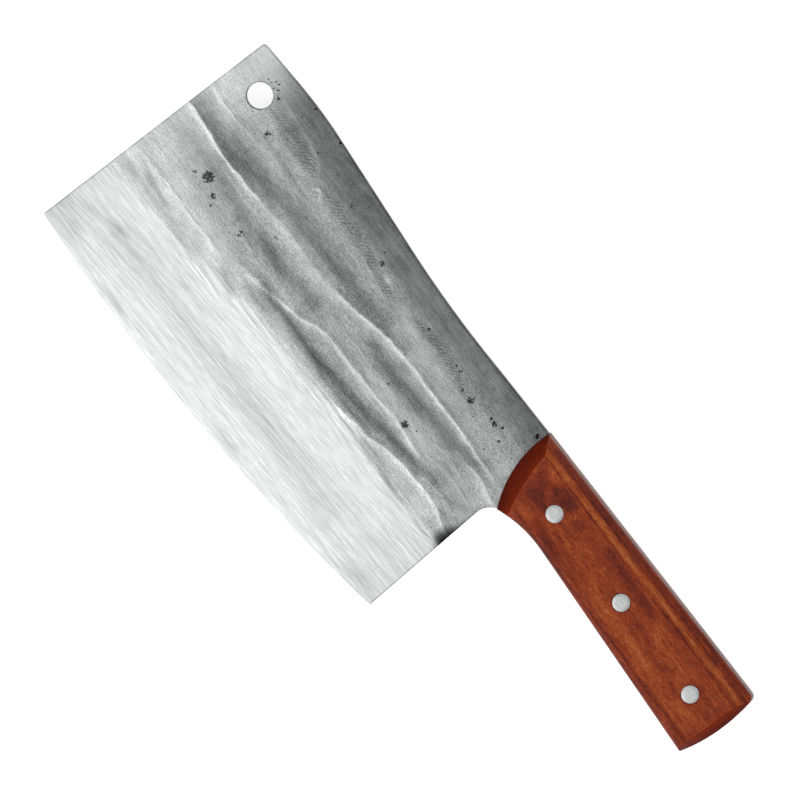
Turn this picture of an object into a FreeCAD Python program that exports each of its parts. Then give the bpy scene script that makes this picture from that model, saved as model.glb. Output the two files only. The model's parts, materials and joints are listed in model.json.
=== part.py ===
import FreeCAD, Part
import math
import os
from collections import namedtuple

import Sketcher

# Meat cleaver with a full tang, two wooden scales and three two-piece rivets.
#
# Every sketch is drawn in the knife's own frame: x runs along the knife, 0 at the middle
# rivet and positive towards the butt; y runs across it, 0 on the line of rivets and positive
# towards the spine; z is 0 in the middle of the steel. Each sub-part's Placement then moves
# this frame so that the origin is under the middle of the whole knife, lying on its side.

Circle = namedtuple("Circle", "x y radius")
Corner = namedtuple("Corner", "x y")
Step = namedtuple("Step", "corner curve turn")

LEFT_TURN = 1
RIGHT_TURN = -1
STRAIGHT = None
START, END, CENTRE = 1, 2, 3
ORIGIN_POINT = (-1, 1)
POINT_TOLERANCE = 0.01
LEAST_CUT_VOLUME = 0.001
FULL_TURN = 360.0
UP = FreeCAD.Vector(0, 0, 1)

SIZES = {
    # Outline of the steel: corners in order from the tip along the spine to the butt.
    "tip_x": -258.6, "tip_y": 19.0,
    "peak_front_x": -236.0, "peak_rear_x": -215.0,
    "peak_centre_x": -225.8, "peak_centre_y": -197.5, "peak_radius": 218.0,
    "saddle_front_x": -165.0, "saddle_front_y": 16.65,
    "saddle_rear_x": -100.0, "saddle_rear_y": 15.45, "saddle_radius": 500.0,
    "bolster_x": -69.7, "bolster_y": 16.25,
    "butt_spine_y": 18.4, "butt_belly_y": -17.3,
    "butt_centre_x": -9.0, "butt_centre_y": 2.2, "butt_radius": 72.0,
    # Outline from the butt along the belly of the handle to the heel and the edge.
    "arch_rear_x": -34.97, "arch_rear_y": -13.27, "arch_radius": 53.5,
    "choil_top_x": -56.79, "choil_top_y": -16.93, "choil_radius": 8.4,
    "choil_low_x": -62.09, "choil_low_y": -25.34,
    "heel_x": -58.15, "toe_x": -257.4,
    "edge_centre_x": -203.6, "edge_centre_y": 807.1, "edge_radius": 900.0,
    "tip_round": 1.5, "butt_round": 2.6,
    # Thickness of the steel, given as half of it on each side of the mid-plane, at sections
    # near the tip, half way along the blade and at the heel. Each section is straight from the
    # spine to the middle, and from there to the top of the ground bevel.
    "tang_half": 2.2, "section_spine_y": 24.0, "section_middle_y": -19.0, "section_low_y": -96.0,
    "tip_section_x": -262.0, "tip_spine_half": 1.6, "tip_middle_half": 1.52,
    "tip_grind_y": -57.0, "tip_grind_half": 1.42,
    "mid_section_x": -160.0, "mid_spine_half": 1.9, "mid_middle_half": 1.82,
    "mid_grind_y": -51.0, "mid_grind_half": 1.62,
    "heel_section_x": -58.0, "heel_grind_y": -47.0, "heel_grind_half": 1.45,
    "butt_section_x": 66.0,
    # Ground bevel: a cone about the centre of the edge's arc, then the sharpened edge.
    "bevel_depth": 45.0, "bevel_top_half": 1.84, "bevel_foot_half": 0.25,
    "sharpened_depth": 0.8, "edge_half": 0.06, "bevel_sweep": 20.0,
    "cut_margin": 2.0, "cut_half": 3.2,
    # Holes.
    "hanging_x": -243.2, "hanging_y": 5.1, "hanging_radius": 5.3,
    "front_rivet_x": -43.3, "middle_rivet_x": 0.0, "rear_rivet_x": 44.8, "rivet_y": 0.0,
    # Scales: outline beyond the tang's own, then the two facets along the spine, each given by
    # its place and its drop below the flat side at the front and at the rear.
    "scale_thickness": 8.0,
    "scale_low_x": -58.3, "scale_low_y": -17.72, "scale_front_radius": 48.0,
    "facet_front_x": -74.0, "facet_rear_x": 68.0, "facet_inner_y": 11.0,
    "facet_front_y": 13.8, "facet_front_drop": 2.3, "facet_rear_y": 15.5, "facet_rear_drop": 2.9,
    "wall_front_y": 16.1, "wall_rear_y": 18.4, "wall_drop": 5.0,
    # Rounding along the belly, and the bevels at the front and the butt, turned about the
    # centres of the arcs that bound them.
    "belly_round": 3.4,
    "front_centre_x": -21.8, "front_centre_y": 13.43, "front_width": 6.4, "front_drop": 5.2,
    "front_sweep": 110.0, "butt_width": 3.5, "butt_drop": 4.6, "butt_sweep": 50.0,
    # Rivets. Each head is flush with the scale. The tube's blind bore takes the pin.
    "head_radius": 3.58, "head_seat_radius": 3.6, "head_thickness": 2.0,
    "tube_radius": 2.5, "tube_hole_radius": 2.6, "bore_radius": 1.5, "bore_floor": 1.2,
    "pin_radius": 1.49, "end_gap": 0.6,
}

RIVET_NAMES = ("front", "middle", "rear")
ORIGIN_X = "-(dims.tip_x + dims.butt_centre_x + dims.butt_radius) / 2"
ORIGIN_Y = ("-(dims.edge_centre_y - dims.edge_radius"
            " + dims.peak_centre_y + dims.peak_radius) / 2")
SCALE_TOP = "dims.tang_half + dims.scale_thickness"
ORIGIN_Z = SCALE_TOP


def make_sheet(doc):
    """The sheet of driving dimensions, one row for each: its name, then its value."""
    sheet = doc.addObject("Spreadsheet::Sheet", "dims")
    for row, (name, value) in enumerate(SIZES.items(), start=1):
        sheet.set("A%d" % row, name)
        sheet.set("B%d" % row, str(value))
        sheet.setAlias("B%d" % row, name)
    doc.recompute()
    return sheet


def new_body(doc, name):
    """A body in the knife's frame, moved as a whole to the part's origin."""
    body = doc.addObject("PartDesign::Body", name)
    body.Label = name
    place(body)
    return body


def place(thing):
    thing.setExpression(".Placement.Base.x", ORIGIN_X)
    thing.setExpression(".Placement.Base.y", ORIGIN_Y)
    thing.setExpression(".Placement.Base.z", ORIGIN_Z)


def new_sketch(body, name, role, right=None, out=None):
    """A sketch on one of the body's origin planes, moved right in the plane and out of it."""
    sketch = body.newObject("Sketcher::SketchObject", name)
    plane = next(item for item in body.Origin.OriginFeatures if item.Role == role)
    sketch.AttachmentSupport = [(plane, "")]
    sketch.MapMode = "FlatFace"
    if right:
        sketch.setExpression(".AttachmentOffset.Base.x", right)
    if out:
        sketch.setExpression(".AttachmentOffset.Base.z", out)
    return sketch


def bind(sketch, kind, *where, to):
    """Add a constraint whose value is an expression over the sheet."""
    value = sketch.evalExpression(to)
    index = sketch.addConstraint(Sketcher.Constraint(kind, *where, float(value)))
    sketch.setExpression("Constraints[%d]" % index, to)


def number(sketch, expression):
    return float(sketch.evalExpression(expression))


def fix_point(sketch, geometry, position, x, y):
    """Bind a point's distances from the sketch's origin, leaving out a free one."""
    if x:
        bind(sketch, "DistanceX", *ORIGIN_POINT, geometry, position, to=x)
    if y:
        bind(sketch, "DistanceY", *ORIGIN_POINT, geometry, position, to=y)


def arc_between(first, last, radius, turn):
    """Centre of the arc of this radius that turns one way from first to last."""
    chord = last - first
    rise = math.sqrt(radius ** 2 - (chord.Length / 2) ** 2)
    side = FreeCAD.Vector(-chord.y, chord.x, 0).normalize() * turn
    return (first + last) * 0.5 + side * rise


def draw_step(sketch, first, last, step):
    """One line or arc of a profile. Returns its index and which of its ends come first, last."""
    if step.curve is STRAIGHT:
        return sketch.addGeometry(Part.LineSegment(first, last)), START, END
    own_circle = isinstance(step.curve, Circle)
    radius_text = step.curve.radius if own_circle else step.curve
    radius = number(sketch, radius_text)
    centre = arc_between(first, last, radius, step.turn)
    ends = [math.atan2(end.y - centre.y, end.x - centre.x) for end in (first, last)]
    if step.turn == RIGHT_TURN:
        ends.reverse()
    arc = Part.ArcOfCircle(Part.Circle(centre, UP, radius), *ends)
    index = sketch.addGeometry(arc)
    bind(sketch, "Radius", index, to=radius_text)
    if own_circle:
        fix_point(sketch, index, CENTRE, step.curve.x, step.curve.y)
    return (index, START, END) if step.turn == LEFT_TURN else (index, END, START)


def corner_point(sketch, corner, circle):
    """Where a corner is. A coordinate that it leaves out comes from the circle through it."""
    if corner.x and corner.y:
        return FreeCAD.Vector(number(sketch, corner.x), number(sketch, corner.y), 0)
    centre_x, centre_y, radius = (number(sketch, text) for text in circle)
    if corner.y:
        y = number(sketch, corner.y)
        return FreeCAD.Vector(centre_x + math.sqrt(radius ** 2 - (y - centre_y) ** 2), y, 0)
    x = number(sketch, corner.x)
    above = 1 if centre_y < 0 else -1
    return FreeCAD.Vector(x, centre_y + above * math.sqrt(radius ** 2 - (x - centre_x) ** 2), 0)


def draw_profile(sketch, steps):
    """A closed outline: each step starts at its corner and runs to the next step's corner."""
    points = []
    for index, step in enumerate(steps):
        curves = [step.curve, steps[index - 1].curve]
        circle = next((curve for curve in curves if isinstance(curve, Circle)), None)
        points.append(corner_point(sketch, step.corner, circle))
    pieces = []
    for index, step in enumerate(steps):
        last = points[(index + 1) % len(points)]
        pieces.append(draw_step(sketch, points[index], last, step))
    for index, step in enumerate(steps):
        geometry, first_end, _ = pieces[index]
        before, _, last_end = pieces[index - 1]
        sketch.addConstraint(Sketcher.Constraint("Coincident", before, last_end, geometry, first_end))
        fix_point(sketch, geometry, first_end, step.corner.x, step.corner.y)


def draw_polygon(sketch, corners):
    draw_profile(sketch, [Step(Corner(x, y), STRAIGHT, None) for x, y in corners])


def draw_circle(sketch, x, y, radius):
    centre = FreeCAD.Vector(number(sketch, x), number(sketch, y), 0)
    index = sketch.addGeometry(Part.Circle(centre, UP, number(sketch, radius)))
    bind(sketch, "Radius", index, to=radius)
    fix_point(sketch, index, CENTRE, x, y)


PEAK = Circle("dims.peak_centre_x", "dims.peak_centre_y", "dims.peak_radius")
BUTT = Circle("dims.butt_centre_x", "dims.butt_centre_y", "dims.butt_radius")
EDGE = Circle("dims.edge_centre_x", "dims.edge_centre_y", "dims.edge_radius")


def handle_belly():
    """The butt and the underside of the handle, up to the top of the choil."""
    return [
        Step(Corner(None, "dims.butt_spine_y"), BUTT, RIGHT_TURN),
        Step(Corner(None, "dims.butt_belly_y"), STRAIGHT, None),
        Step(Corner("dims.arch_rear_x", "dims.arch_rear_y"), "dims.arch_radius", LEFT_TURN),
    ]


def steel_outline():
    """The whole steel, clockwise from the tip."""
    spine = [
        Step(Corner("dims.tip_x", "dims.tip_y"), STRAIGHT, None),
        Step(Corner("dims.peak_front_x", None), PEAK, RIGHT_TURN),
        Step(Corner("dims.peak_rear_x", None), STRAIGHT, None),
        Step(Corner("dims.saddle_front_x", "dims.saddle_front_y"), "dims.saddle_radius", LEFT_TURN),
        Step(Corner("dims.saddle_rear_x", "dims.saddle_rear_y"), STRAIGHT, None),
        Step(Corner("dims.bolster_x", "dims.bolster_y"), STRAIGHT, None),
    ]
    heel = [
        Step(Corner("dims.choil_top_x", "dims.choil_top_y"), "dims.choil_radius", LEFT_TURN),
        Step(Corner("dims.choil_low_x", "dims.choil_low_y"), STRAIGHT, None),
        Step(Corner("dims.heel_x", None), EDGE, RIGHT_TURN),
        Step(Corner("dims.toe_x", None), STRAIGHT, None),
    ]
    return spine + handle_belly() + heel


def scale_outline():
    """A scale: flush with the tang, with a bowed front edge across the blade."""
    return [Step(Corner("dims.bolster_x", "dims.bolster_y"), STRAIGHT, None)] + handle_belly() + [
        Step(Corner("dims.choil_top_x", "dims.choil_top_y"), "dims.choil_radius", LEFT_TURN),
        Step(Corner("dims.scale_low_x", "dims.scale_low_y"), "dims.scale_front_radius", RIGHT_TURN),
    ]


def pad(body, sketch, length):
    feature = body.newObject("PartDesign::Pad", sketch.Name + "_pad")
    feature.Profile = sketch
    feature.setExpression("Length", length)
    body.Document.recompute()


def cut(body, kind, name, profile, **properties):
    """A feature that takes material away, refused if the volume stays as it was."""
    before = body.Shape.Volume
    feature = body.newObject("PartDesign::" + kind, name)
    feature.Profile = profile
    for key, value in properties.items():
        setattr(feature, key, value)
    body.Document.recompute()
    if body.Shape.Volume > before - LEAST_CUT_VOLUME:
        raise RuntimeError("%s cut nothing" % name)
    return feature


def edges_up_at(shape, point):
    """Names of the edges that run along z through this point of the outline."""
    names = []
    for index, edge in enumerate(shape.Edges, start=1):
        ends = [vertex.Point for vertex in edge.Vertexes]
        if all(math.hypot(end.x - point.x, end.y - point.y) < POINT_TOLERANCE for end in ends):
            names.append("Edge%d" % index)
    return names


def round_edges(body, name, edge_names, radius):
    base = body.Tip
    feature = body.newObject("PartDesign::Fillet", name)
    feature.Base = (base, edge_names)
    feature.setExpression("Radius", radius)
    body.Document.recompute()


def round_corners(body, sketch, prefix, corners):
    """Round the outline's named corners, each with its own radius."""
    for name, corner, circle, radius in corners:
        point = corner_point(sketch, corner, circle)
        round_edges(body, prefix + name, edges_up_at(body.Tip.Shape, point), radius)


TIP_CORNERS = [("tip_round", Corner("dims.tip_x", "dims.tip_y"), None, "dims.tip_round")]
BUTT_CORNERS = [("butt_round", Corner(None, "dims.butt_spine_y"), BUTT, "dims.butt_round")]


def steel_section(body, name, spine, middle, grind_y, grind):
    """The forged bar's section across the knife, given by half thicknesses down from the spine."""
    sketch = new_sketch(body, name, "YZ_Plane", out="dims.%s_x" % name)
    upper = [
        ("dims.section_spine_y", spine),
        ("dims.section_middle_y", middle),
        (grind_y, grind),
        ("dims.section_low_y", grind),
    ]
    lower = [(y, "-" + half) for y, half in reversed(upper)]
    draw_polygon(sketch, upper + lower)
    return sketch


def forge_bar(body):
    """The bar before trimming: flat at the tang, thinner towards the tip and the edge."""
    tip = steel_section(body, "tip_section", "dims.tip_spine_half", "dims.tip_middle_half",
                        "dims.tip_grind_y", "dims.tip_grind_half")
    middle = steel_section(body, "mid_section", "dims.mid_spine_half", "dims.mid_middle_half",
                           "dims.mid_grind_y", "dims.mid_grind_half")
    tang = [steel_section(body, name, "dims.tang_half", "dims.tang_half",
                          "dims.heel_grind_y", "dims.heel_grind_half")
            for name in ("heel_section", "butt_section")]
    body.Document.recompute()
    bar = body.newObject("PartDesign::AdditiveLoft", "forged_bar")
    bar.Profile = tip
    bar.Sections = [middle] + tang
    bar.Ruled = True
    body.Document.recompute()


def trim_to_outline(body):
    """Take away everything outside the knife's outline."""
    sketch = new_sketch(body, "trim", "XY_Plane")
    left, right = "dims.tip_section_x - dims.cut_margin", "dims.butt_section_x + dims.cut_margin"
    low, high = "dims.section_low_y - dims.cut_margin", "dims.section_spine_y + dims.cut_margin"
    draw_polygon(sketch, [(left, low), (right, low), (right, high), (left, high)])
    draw_profile(sketch, steel_outline())
    body.Document.recompute()
    cut(body, "Pocket", "trimmed", sketch, Type="ThroughAll", Midplane=True)
    return sketch


def turned_cut(body, name, sketch, sweep):
    """Take away what a profile sweeps about its own upright axis, half of it to each side."""
    body.Document.recompute()
    groove = cut(body, "Groove", name, sketch, ReferenceAxis=(sketch, ["V_Axis"]),
                 Midplane=True, Angle=number(sketch, sweep))
    groove.setExpression("Angle", sweep)


def grind_bevels(body):
    """The ground bevel and the sharpened edge, alike on both sides and all along the edge."""
    sketch = new_sketch(body, "bevel_profile", "YZ_Plane",
                        right="dims.edge_centre_y", out="dims.edge_centre_x")
    reach = "-(dims.edge_radius %s)"
    beyond = reach % "+ dims.cut_margin"
    top = reach % "- dims.bevel_depth"
    for sign in ("", "-"):
        draw_polygon(sketch, [
            (top, sign + "dims.bevel_top_half"),
            (reach % "- dims.sharpened_depth", sign + "dims.bevel_foot_half"),
            (reach % "", sign + "dims.edge_half"),
            (beyond, sign + "dims.edge_half"),
            (beyond, sign + "dims.cut_half"),
            (top, sign + "dims.cut_half"),
        ])
    turned_cut(body, "ground_bevel", sketch, "dims.bevel_sweep")


def drill(body, name, x_names, y_name, radius):
    """Round holes right through, one for each x."""
    sketch = new_sketch(body, name + "_circles", "XY_Plane")
    for x_name in x_names:
        draw_circle(sketch, x_name, y_name, radius)
    body.Document.recompute()
    cut(body, "Pocket", name, sketch, Type="ThroughAll", Midplane=True)


def rivet_places():
    return ["dims.%s_rivet_x" % name for name in RIVET_NAMES]


def make_blade(doc):
    """Blade and full tang, forged in one piece."""
    body = new_body(doc, "blade")
    forge_bar(body)
    outline = trim_to_outline(body)
    round_corners(body, outline, "steel_", TIP_CORNERS + BUTT_CORNERS)
    grind_bevels(body)
    drill(body, "hanging_hole", ["dims.hanging_x"], "dims.hanging_y", "dims.hanging_radius")
    drill(body, "rivet_holes", rivet_places(), "dims.rivet_y", "dims.tube_hole_radius")
    return body


def round_belly(body):
    """Round the outer edge along the underside, from the front edge to the butt."""
    outer = number(body, SCALE_TOP)
    names = []
    for index, edge in enumerate(body.Tip.Shape.Edges, start=1):
        ends = [vertex.Point for vertex in edge.Vertexes]
        on_top = all(abs(end.z - outer) < POINT_TOLERANCE for end in ends)
        if on_top and all(end.y < 0 for end in ends):
            names.append("Edge%d" % index)
    round_edges(body, "belly", names, "dims.belly_round")


def cut_facets(body):
    """The two facets along the spine, straight from the front to the butt."""
    sections = []
    for end in ("front", "rear"):
        sketch = new_sketch(body, end + "_facets", "YZ_Plane", out="dims.facet_%s_x" % end)
        foot = SCALE_TOP + " - dims.wall_drop"
        above = SCALE_TOP + " + dims.cut_margin"
        outside = "dims.wall_%s_y + dims.cut_margin" % end
        draw_polygon(sketch, [
            ("dims.facet_inner_y", SCALE_TOP),
            ("dims.facet_%s_y" % end, SCALE_TOP + " - dims.facet_%s_drop" % end),
            ("dims.wall_%s_y" % end, foot),
            (outside, foot),
            (outside, above),
            ("dims.facet_inner_y", above),
        ])
        sections.append(sketch)
    body.Document.recompute()
    cut(body, "SubtractiveLoft", "spine_facets", sections[0], Sections=[sections[1]], Ruled=True)


def bevel_end(body, end, centre, radius, side):
    """A cone that bevels a bowed end of the scale, about the centre of the bow."""
    centre_x, centre_y = centre
    sketch = new_sketch(body, end + "_bevel_profile", "XZ_Plane",
                        right=centre_x, out="-(%s)" % centre_y)
    inside = "%s(%s - dims.%s_width)" % (side, radius, end)
    rim = "%s(%s)" % (side, radius)
    outside = "%s(%s + dims.cut_margin)" % (side, radius)
    foot = "%s - dims.%s_drop" % (SCALE_TOP, end)
    above = SCALE_TOP + " + dims.cut_margin"
    draw_polygon(sketch, [(inside, SCALE_TOP), (rim, foot), (outside, foot),
                          (outside, above), (inside, above)])
    turned_cut(body, end + "_bevel", sketch, "dims.%s_sweep" % end)


def seat_heads(body):
    """Flat-bottomed seats that let the rivet heads in flush."""
    sketch = new_sketch(body, "head_circles", "XY_Plane", out=SCALE_TOP)
    for place_x in rivet_places():
        draw_circle(sketch, place_x, "dims.rivet_y", "dims.head_seat_radius")
    body.Document.recompute()
    seats = cut(body, "Pocket", "head_seats", sketch, Length=number(sketch, "dims.head_thickness"))
    seats.setExpression("Length", "dims.head_thickness")


def make_scale(doc):
    """The scale on the blade's left side, lying on the tang."""
    body = new_body(doc, "left_scale")
    sketch = new_sketch(body, "scale_outline", "XY_Plane", out="dims.tang_half")
    draw_profile(sketch, scale_outline())
    body.Document.recompute()
    pad(body, sketch, "dims.scale_thickness")
    round_corners(body, sketch, "scale_", BUTT_CORNERS)
    round_belly(body)
    cut_facets(body)
    bevel_end(body, "front", ("dims.front_centre_x", "dims.front_centre_y"),
              "dims.scale_front_radius", side="-")
    bevel_end(body, "butt", (BUTT.x, BUTT.y), BUTT.radius, side="")
    drill(body, "tube_holes", rivet_places(), "dims.rivet_y", "dims.tube_hole_radius")
    seat_heads(body)
    return body


def mirror_scale(doc, left):
    """The right scale is the left one mirrored in the middle of the steel."""
    mirror = doc.addObject("Part::Mirroring", "right_scale")
    mirror.Label = "right_scale"
    mirror.Source = left
    mirror.Normal = UP
    mirror.setExpression(".Base.z", ORIGIN_Z)
    doc.recompute()
    return mirror


def turn_rivet(doc, name, place_x, corners):
    """A half of a rivet, turned about its own axis from its half section."""
    body = new_body(doc, name)
    sketch = new_sketch(body, name + "_section", "XZ_Plane", right=place_x, out="-dims.rivet_y")
    draw_polygon(sketch, corners)
    doc.recompute()
    turned = body.newObject("PartDesign::Revolution", name + "_turned")
    turned.Profile = sketch
    turned.ReferenceAxis = (sketch, ["V_Axis"])
    turned.Angle = FULL_TURN
    doc.recompute()
    return body


def make_rivet(doc, name):
    """A rivet's tube, with its head on the left side, and the pin pressed into it."""
    place_x = "dims.%s_rivet_x" % name
    top = SCALE_TOP
    neck = top + " - dims.head_thickness"
    tube_end = "-(%s - dims.end_gap)" % neck
    bore_end = neck + " - dims.bore_floor"
    pin_end = bore_end + " - dims.end_gap"
    tube = turn_rivet(doc, name + "_rivet_tube", place_x, [
        ("0", top),
        ("dims.head_radius", top),
        ("dims.head_radius", neck),
        ("dims.tube_radius", neck),
        ("dims.tube_radius", tube_end),
        ("dims.bore_radius", tube_end),
        ("dims.bore_radius", bore_end),
        ("0", bore_end),
    ])
    pin = turn_rivet(doc, name + "_rivet_pin", place_x, [
        ("0", pin_end),
        ("dims.pin_radius", pin_end),
        ("dims.pin_radius", "-(%s)" % neck),
        ("dims.head_radius", "-(%s)" % neck),
        ("dims.head_radius", "-(%s)" % top),
        ("0", "-(%s)" % top),
    ])
    return [tube, pin]


def check(doc, parts):
    """Stop unless every object was made and every sub-part is one valid solid."""
    for item in doc.Objects:
        if "Invalid" in item.State or "Error" in item.State:
            raise RuntimeError("%s: %s" % (item.Label, item.State))
    for part in parts:
        shape = part.Shape
        if shape.isNull() or not shape.isValid() or len(shape.Solids) != 1:
            raise RuntimeError("%s is not one valid solid" % part.Label)


def main():
    doc = FreeCAD.newDocument("cleaver")
    make_sheet(doc)
    left_scale = make_scale(doc)
    parts = [make_blade(doc), left_scale, mirror_scale(doc, left_scale)]
    for name in RIVET_NAMES:
        parts += make_rivet(doc, name)
    doc.recompute()
    check(doc, parts)
    os.makedirs("parts", exist_ok=True)
    for part in parts:
        part.Shape.exportStep("parts/%s.step" % part.Label)
        print(part.Label, part.Shape.BoundBox, part.Shape.Volume)


main()
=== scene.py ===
import json
import math
from collections import namedtuple

import bpy
import numpy as np
from mathutils import Matrix, Vector


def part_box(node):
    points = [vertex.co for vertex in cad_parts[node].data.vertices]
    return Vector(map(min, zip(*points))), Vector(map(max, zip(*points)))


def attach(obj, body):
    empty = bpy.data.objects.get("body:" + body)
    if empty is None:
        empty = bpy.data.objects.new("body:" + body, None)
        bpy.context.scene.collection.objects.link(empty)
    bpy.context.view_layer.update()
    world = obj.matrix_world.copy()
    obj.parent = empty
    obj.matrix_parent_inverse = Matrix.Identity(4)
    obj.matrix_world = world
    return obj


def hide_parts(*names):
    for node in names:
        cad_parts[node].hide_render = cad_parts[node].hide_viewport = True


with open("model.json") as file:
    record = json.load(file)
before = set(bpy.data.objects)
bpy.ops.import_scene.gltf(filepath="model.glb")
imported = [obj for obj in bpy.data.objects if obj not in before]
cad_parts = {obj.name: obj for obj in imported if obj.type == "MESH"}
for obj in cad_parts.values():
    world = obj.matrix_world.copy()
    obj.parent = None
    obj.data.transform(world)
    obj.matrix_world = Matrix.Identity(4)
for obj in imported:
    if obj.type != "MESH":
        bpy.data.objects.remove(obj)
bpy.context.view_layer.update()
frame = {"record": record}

# Meat cleaver. Shapes are worked out in the knife's own frame, in millimetres: x along the
# knife, 0 at the middle rivet and positive towards the butt; y across it, positive towards the
# spine; z through it, 0 in the middle of the steel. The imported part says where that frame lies.

MM = 0.001
ROOT = "root"
LEFT, RIGHT = 1, -1
CLOSE_LINES = (0.12, 0.3)
RIVETS = ("front", "middle", "rear")


def middle(node):
    low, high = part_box(node)
    return (low + high) / 2


RIVET_MIDDLES = {name: middle(name + "_rivet_tube") for name in RIVETS}
KNIFE = Vector((RIVET_MIDDLES["middle"].x, RIVET_MIDDLES["middle"].y, middle("blade").z))
RIVET_X = {name: (place.x - KNIFE.x) / MM for name, place in RIVET_MIDDLES.items()}
TANG_HALF = (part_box("blade")[1].z - KNIFE.z) / MM
HANDLE_HALF = (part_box("left_scale")[1].z - KNIFE.z) / MM
HEAD_RADIUS = (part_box("front_rivet_tube")[1].x - RIVET_MIDDLES["front"].x) / MM
HANGING_HOLE = next(mount for mount in frame["record"]["mounts"] if mount["name"] == "hanging_hole")
HOLE_X, HOLE_Y, _ = (np.array(HANGING_HOLE["pos_m"]) - np.array(KNIFE)) / MM
HOLE_RADIUS, HOLE_HALF = HANGING_HOLE["dims"]["r_mm"], HANGING_HOLE["dims"]["length_mm"] / 2


# ---------------------------------------------------------------- curves and fields


def smooth_step(value, low, high):
    part = np.clip((value - low) / (high - low), 0.0, 1.0)
    return part * part * (3.0 - 2.0 * part)


def smooth_curve(points, x):
    """Height at x of a smooth curve through points whose x increases."""
    xs, ys = np.array(points, float).T
    slopes = np.gradient(ys, xs)
    first = np.clip(np.searchsorted(xs, x) - 1, 0, len(xs) - 2)
    span = xs[first + 1] - xs[first]
    part = np.clip((x - xs[first]) / span, 0.0, 1.0)
    rest = 1.0 - part
    ends = ys[first] * (1 + 2 * part) * rest ** 2 + ys[first + 1] * (1 + 2 * rest) * part ** 2
    return ends + span * part * rest * (slopes[first] * rest - slopes[first + 1] * part)


def lattice_noise(x, y, cell_x, cell_y, seed):
    """Smooth noise from -1 to 1 whose lumps are about one cell across."""
    values = np.random.default_rng(seed).uniform(-1.0, 1.0, (64, 64))
    column, row = x / cell_x + 1000.0, y / cell_y + 1000.0
    low_x, low_y = np.floor(column).astype(int), np.floor(row).astype(int)
    part_x = smooth_step(column - low_x, 0.0, 1.0)
    part_y = smooth_step(row - low_y, 0.0, 1.0)

    def at(step_x, step_y):
        return values[(low_x + step_x) % 64, (low_y + step_y) % 64]

    near = at(0, 0) * (1 - part_x) + at(1, 0) * part_x
    far = at(0, 1) * (1 - part_x) + at(1, 1) * part_x
    return near * (1 - part_y) + far * part_y


def line(first, last):
    return np.array([first, last], float)


def arc(first, last, radius, turn, count=33):
    """Points of the arc of this radius from first to last, turning left (1) or right (-1)."""
    first, last = np.asarray(first, float), np.asarray(last, float)
    chord = last - first
    rise = math.sqrt(radius ** 2 - (chord @ chord) / 4)
    side = np.array([-chord[1], chord[0]]) / np.linalg.norm(chord) * turn
    centre = (first + last) / 2 + side * rise
    start = math.atan2(*(first - centre)[::-1])
    sweep = (math.atan2(*(last - centre)[::-1]) - start) % (2 * math.pi)
    if turn < 0:
        sweep -= 2 * math.pi
    angles = start + sweep * np.linspace(0.0, 1.0, count)
    return centre + radius * np.stack([np.cos(angles), np.sin(angles)], axis=1)


def join(*pieces):
    """One row of points from several rows that follow each other."""
    return np.concatenate([pieces[0]] + [piece[1:] for piece in pieces[1:]])


def rounded(before, corner, after, radius):
    """The arc that rounds the corner of an outline between two of its neighbours."""
    corner = np.asarray(corner, float)
    back, ahead = np.asarray(before) - corner, np.asarray(after) - corner
    back, ahead = back / np.linalg.norm(back), ahead / np.linalg.norm(ahead)
    half = math.acos(np.clip(back @ ahead, -1, 1)) / 2
    reach = radius / math.tan(half)
    turn = 1 if back[0] * ahead[1] - back[1] * ahead[0] < 0 else -1
    return arc(corner + back * reach, corner + ahead * reach, radius, turn, count=9)


def along(curve, shares):
    """Points of a row of points at these shares of its length."""
    steps = np.linalg.norm(np.diff(curve, axis=0), axis=1)
    length = np.concatenate([[0.0], np.cumsum(steps)])
    places = shares * length[-1]
    return np.stack([np.interp(places, length, curve[:, axis]) for axis in (0, 1)], axis=1)


def patch(bottom, top, left, right, across, up):
    """Grid of points that fills the space between four curves, as a Coons patch."""
    u, v = across[:, None, None], up[None, :, None]
    between = along(bottom, across)[:, None] * (1 - v) + along(top, across)[:, None] * v
    beside = along(left, up)[None] * (1 - u) + along(right, up)[None] * u
    low = bottom[0] * (1 - u) + bottom[-1] * u
    high = top[0] * (1 - u) + top[-1] * u
    return between + beside - low * (1 - v) - high * v


def shares(length, cell, start=True, end=True):
    """Shares of a length for grid lines a cell apart, and closer together at the ends asked for."""
    near = np.array(CLOSE_LINES)
    inner = np.linspace(cell if start else 0.0, length - (cell if end else 0.0), round(length / cell))
    parts = ([[0.0], near] if start else []) + [inner]
    parts += [length - near[::-1], [length]] if end else []
    return np.concatenate(parts) / length


def outline_distance(points, outline):
    """Distance of each point from a closed row of points."""
    first, step = outline, np.roll(outline, -1, axis=0) - outline
    size = np.maximum((step ** 2).sum(axis=1), 1e-12)
    nearest = np.full(len(points), np.inf)
    for start, run, squared in zip(first, step, size):
        part = np.clip(((points - start) @ run) / squared, 0.0, 1.0)
        gap = points - start - part[:, None] * run
        nearest = np.minimum(nearest, np.hypot(gap[:, 0], gap[:, 1]))
    return nearest


# ---------------------------------------------------------------- meshes


def add_object(name, data):
    thing = bpy.data.objects.new(name, data)
    bpy.context.scene.collection.objects.link(thing)
    return thing


def add_mesh(name, vertices, faces):
    """An object whose vertices are in metres."""
    mesh = bpy.data.meshes.new(name)
    mesh.from_pydata(vertices, [], faces)
    return add_object(name, mesh)


def in_part(points):
    """Points of the knife's frame as places in the part's frame, in metres."""
    return (np.asarray(points) * MM + np.array(KNIFE)).tolist()


def new_piece(name, vertices, faces, replaced):
    """A piece that rides on the knife's one body and stands for a CAD node."""
    piece = add_mesh(name, in_part(vertices), faces)
    piece.data.validate()
    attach(piece, ROOT)
    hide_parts(replaced)
    return piece


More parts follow.
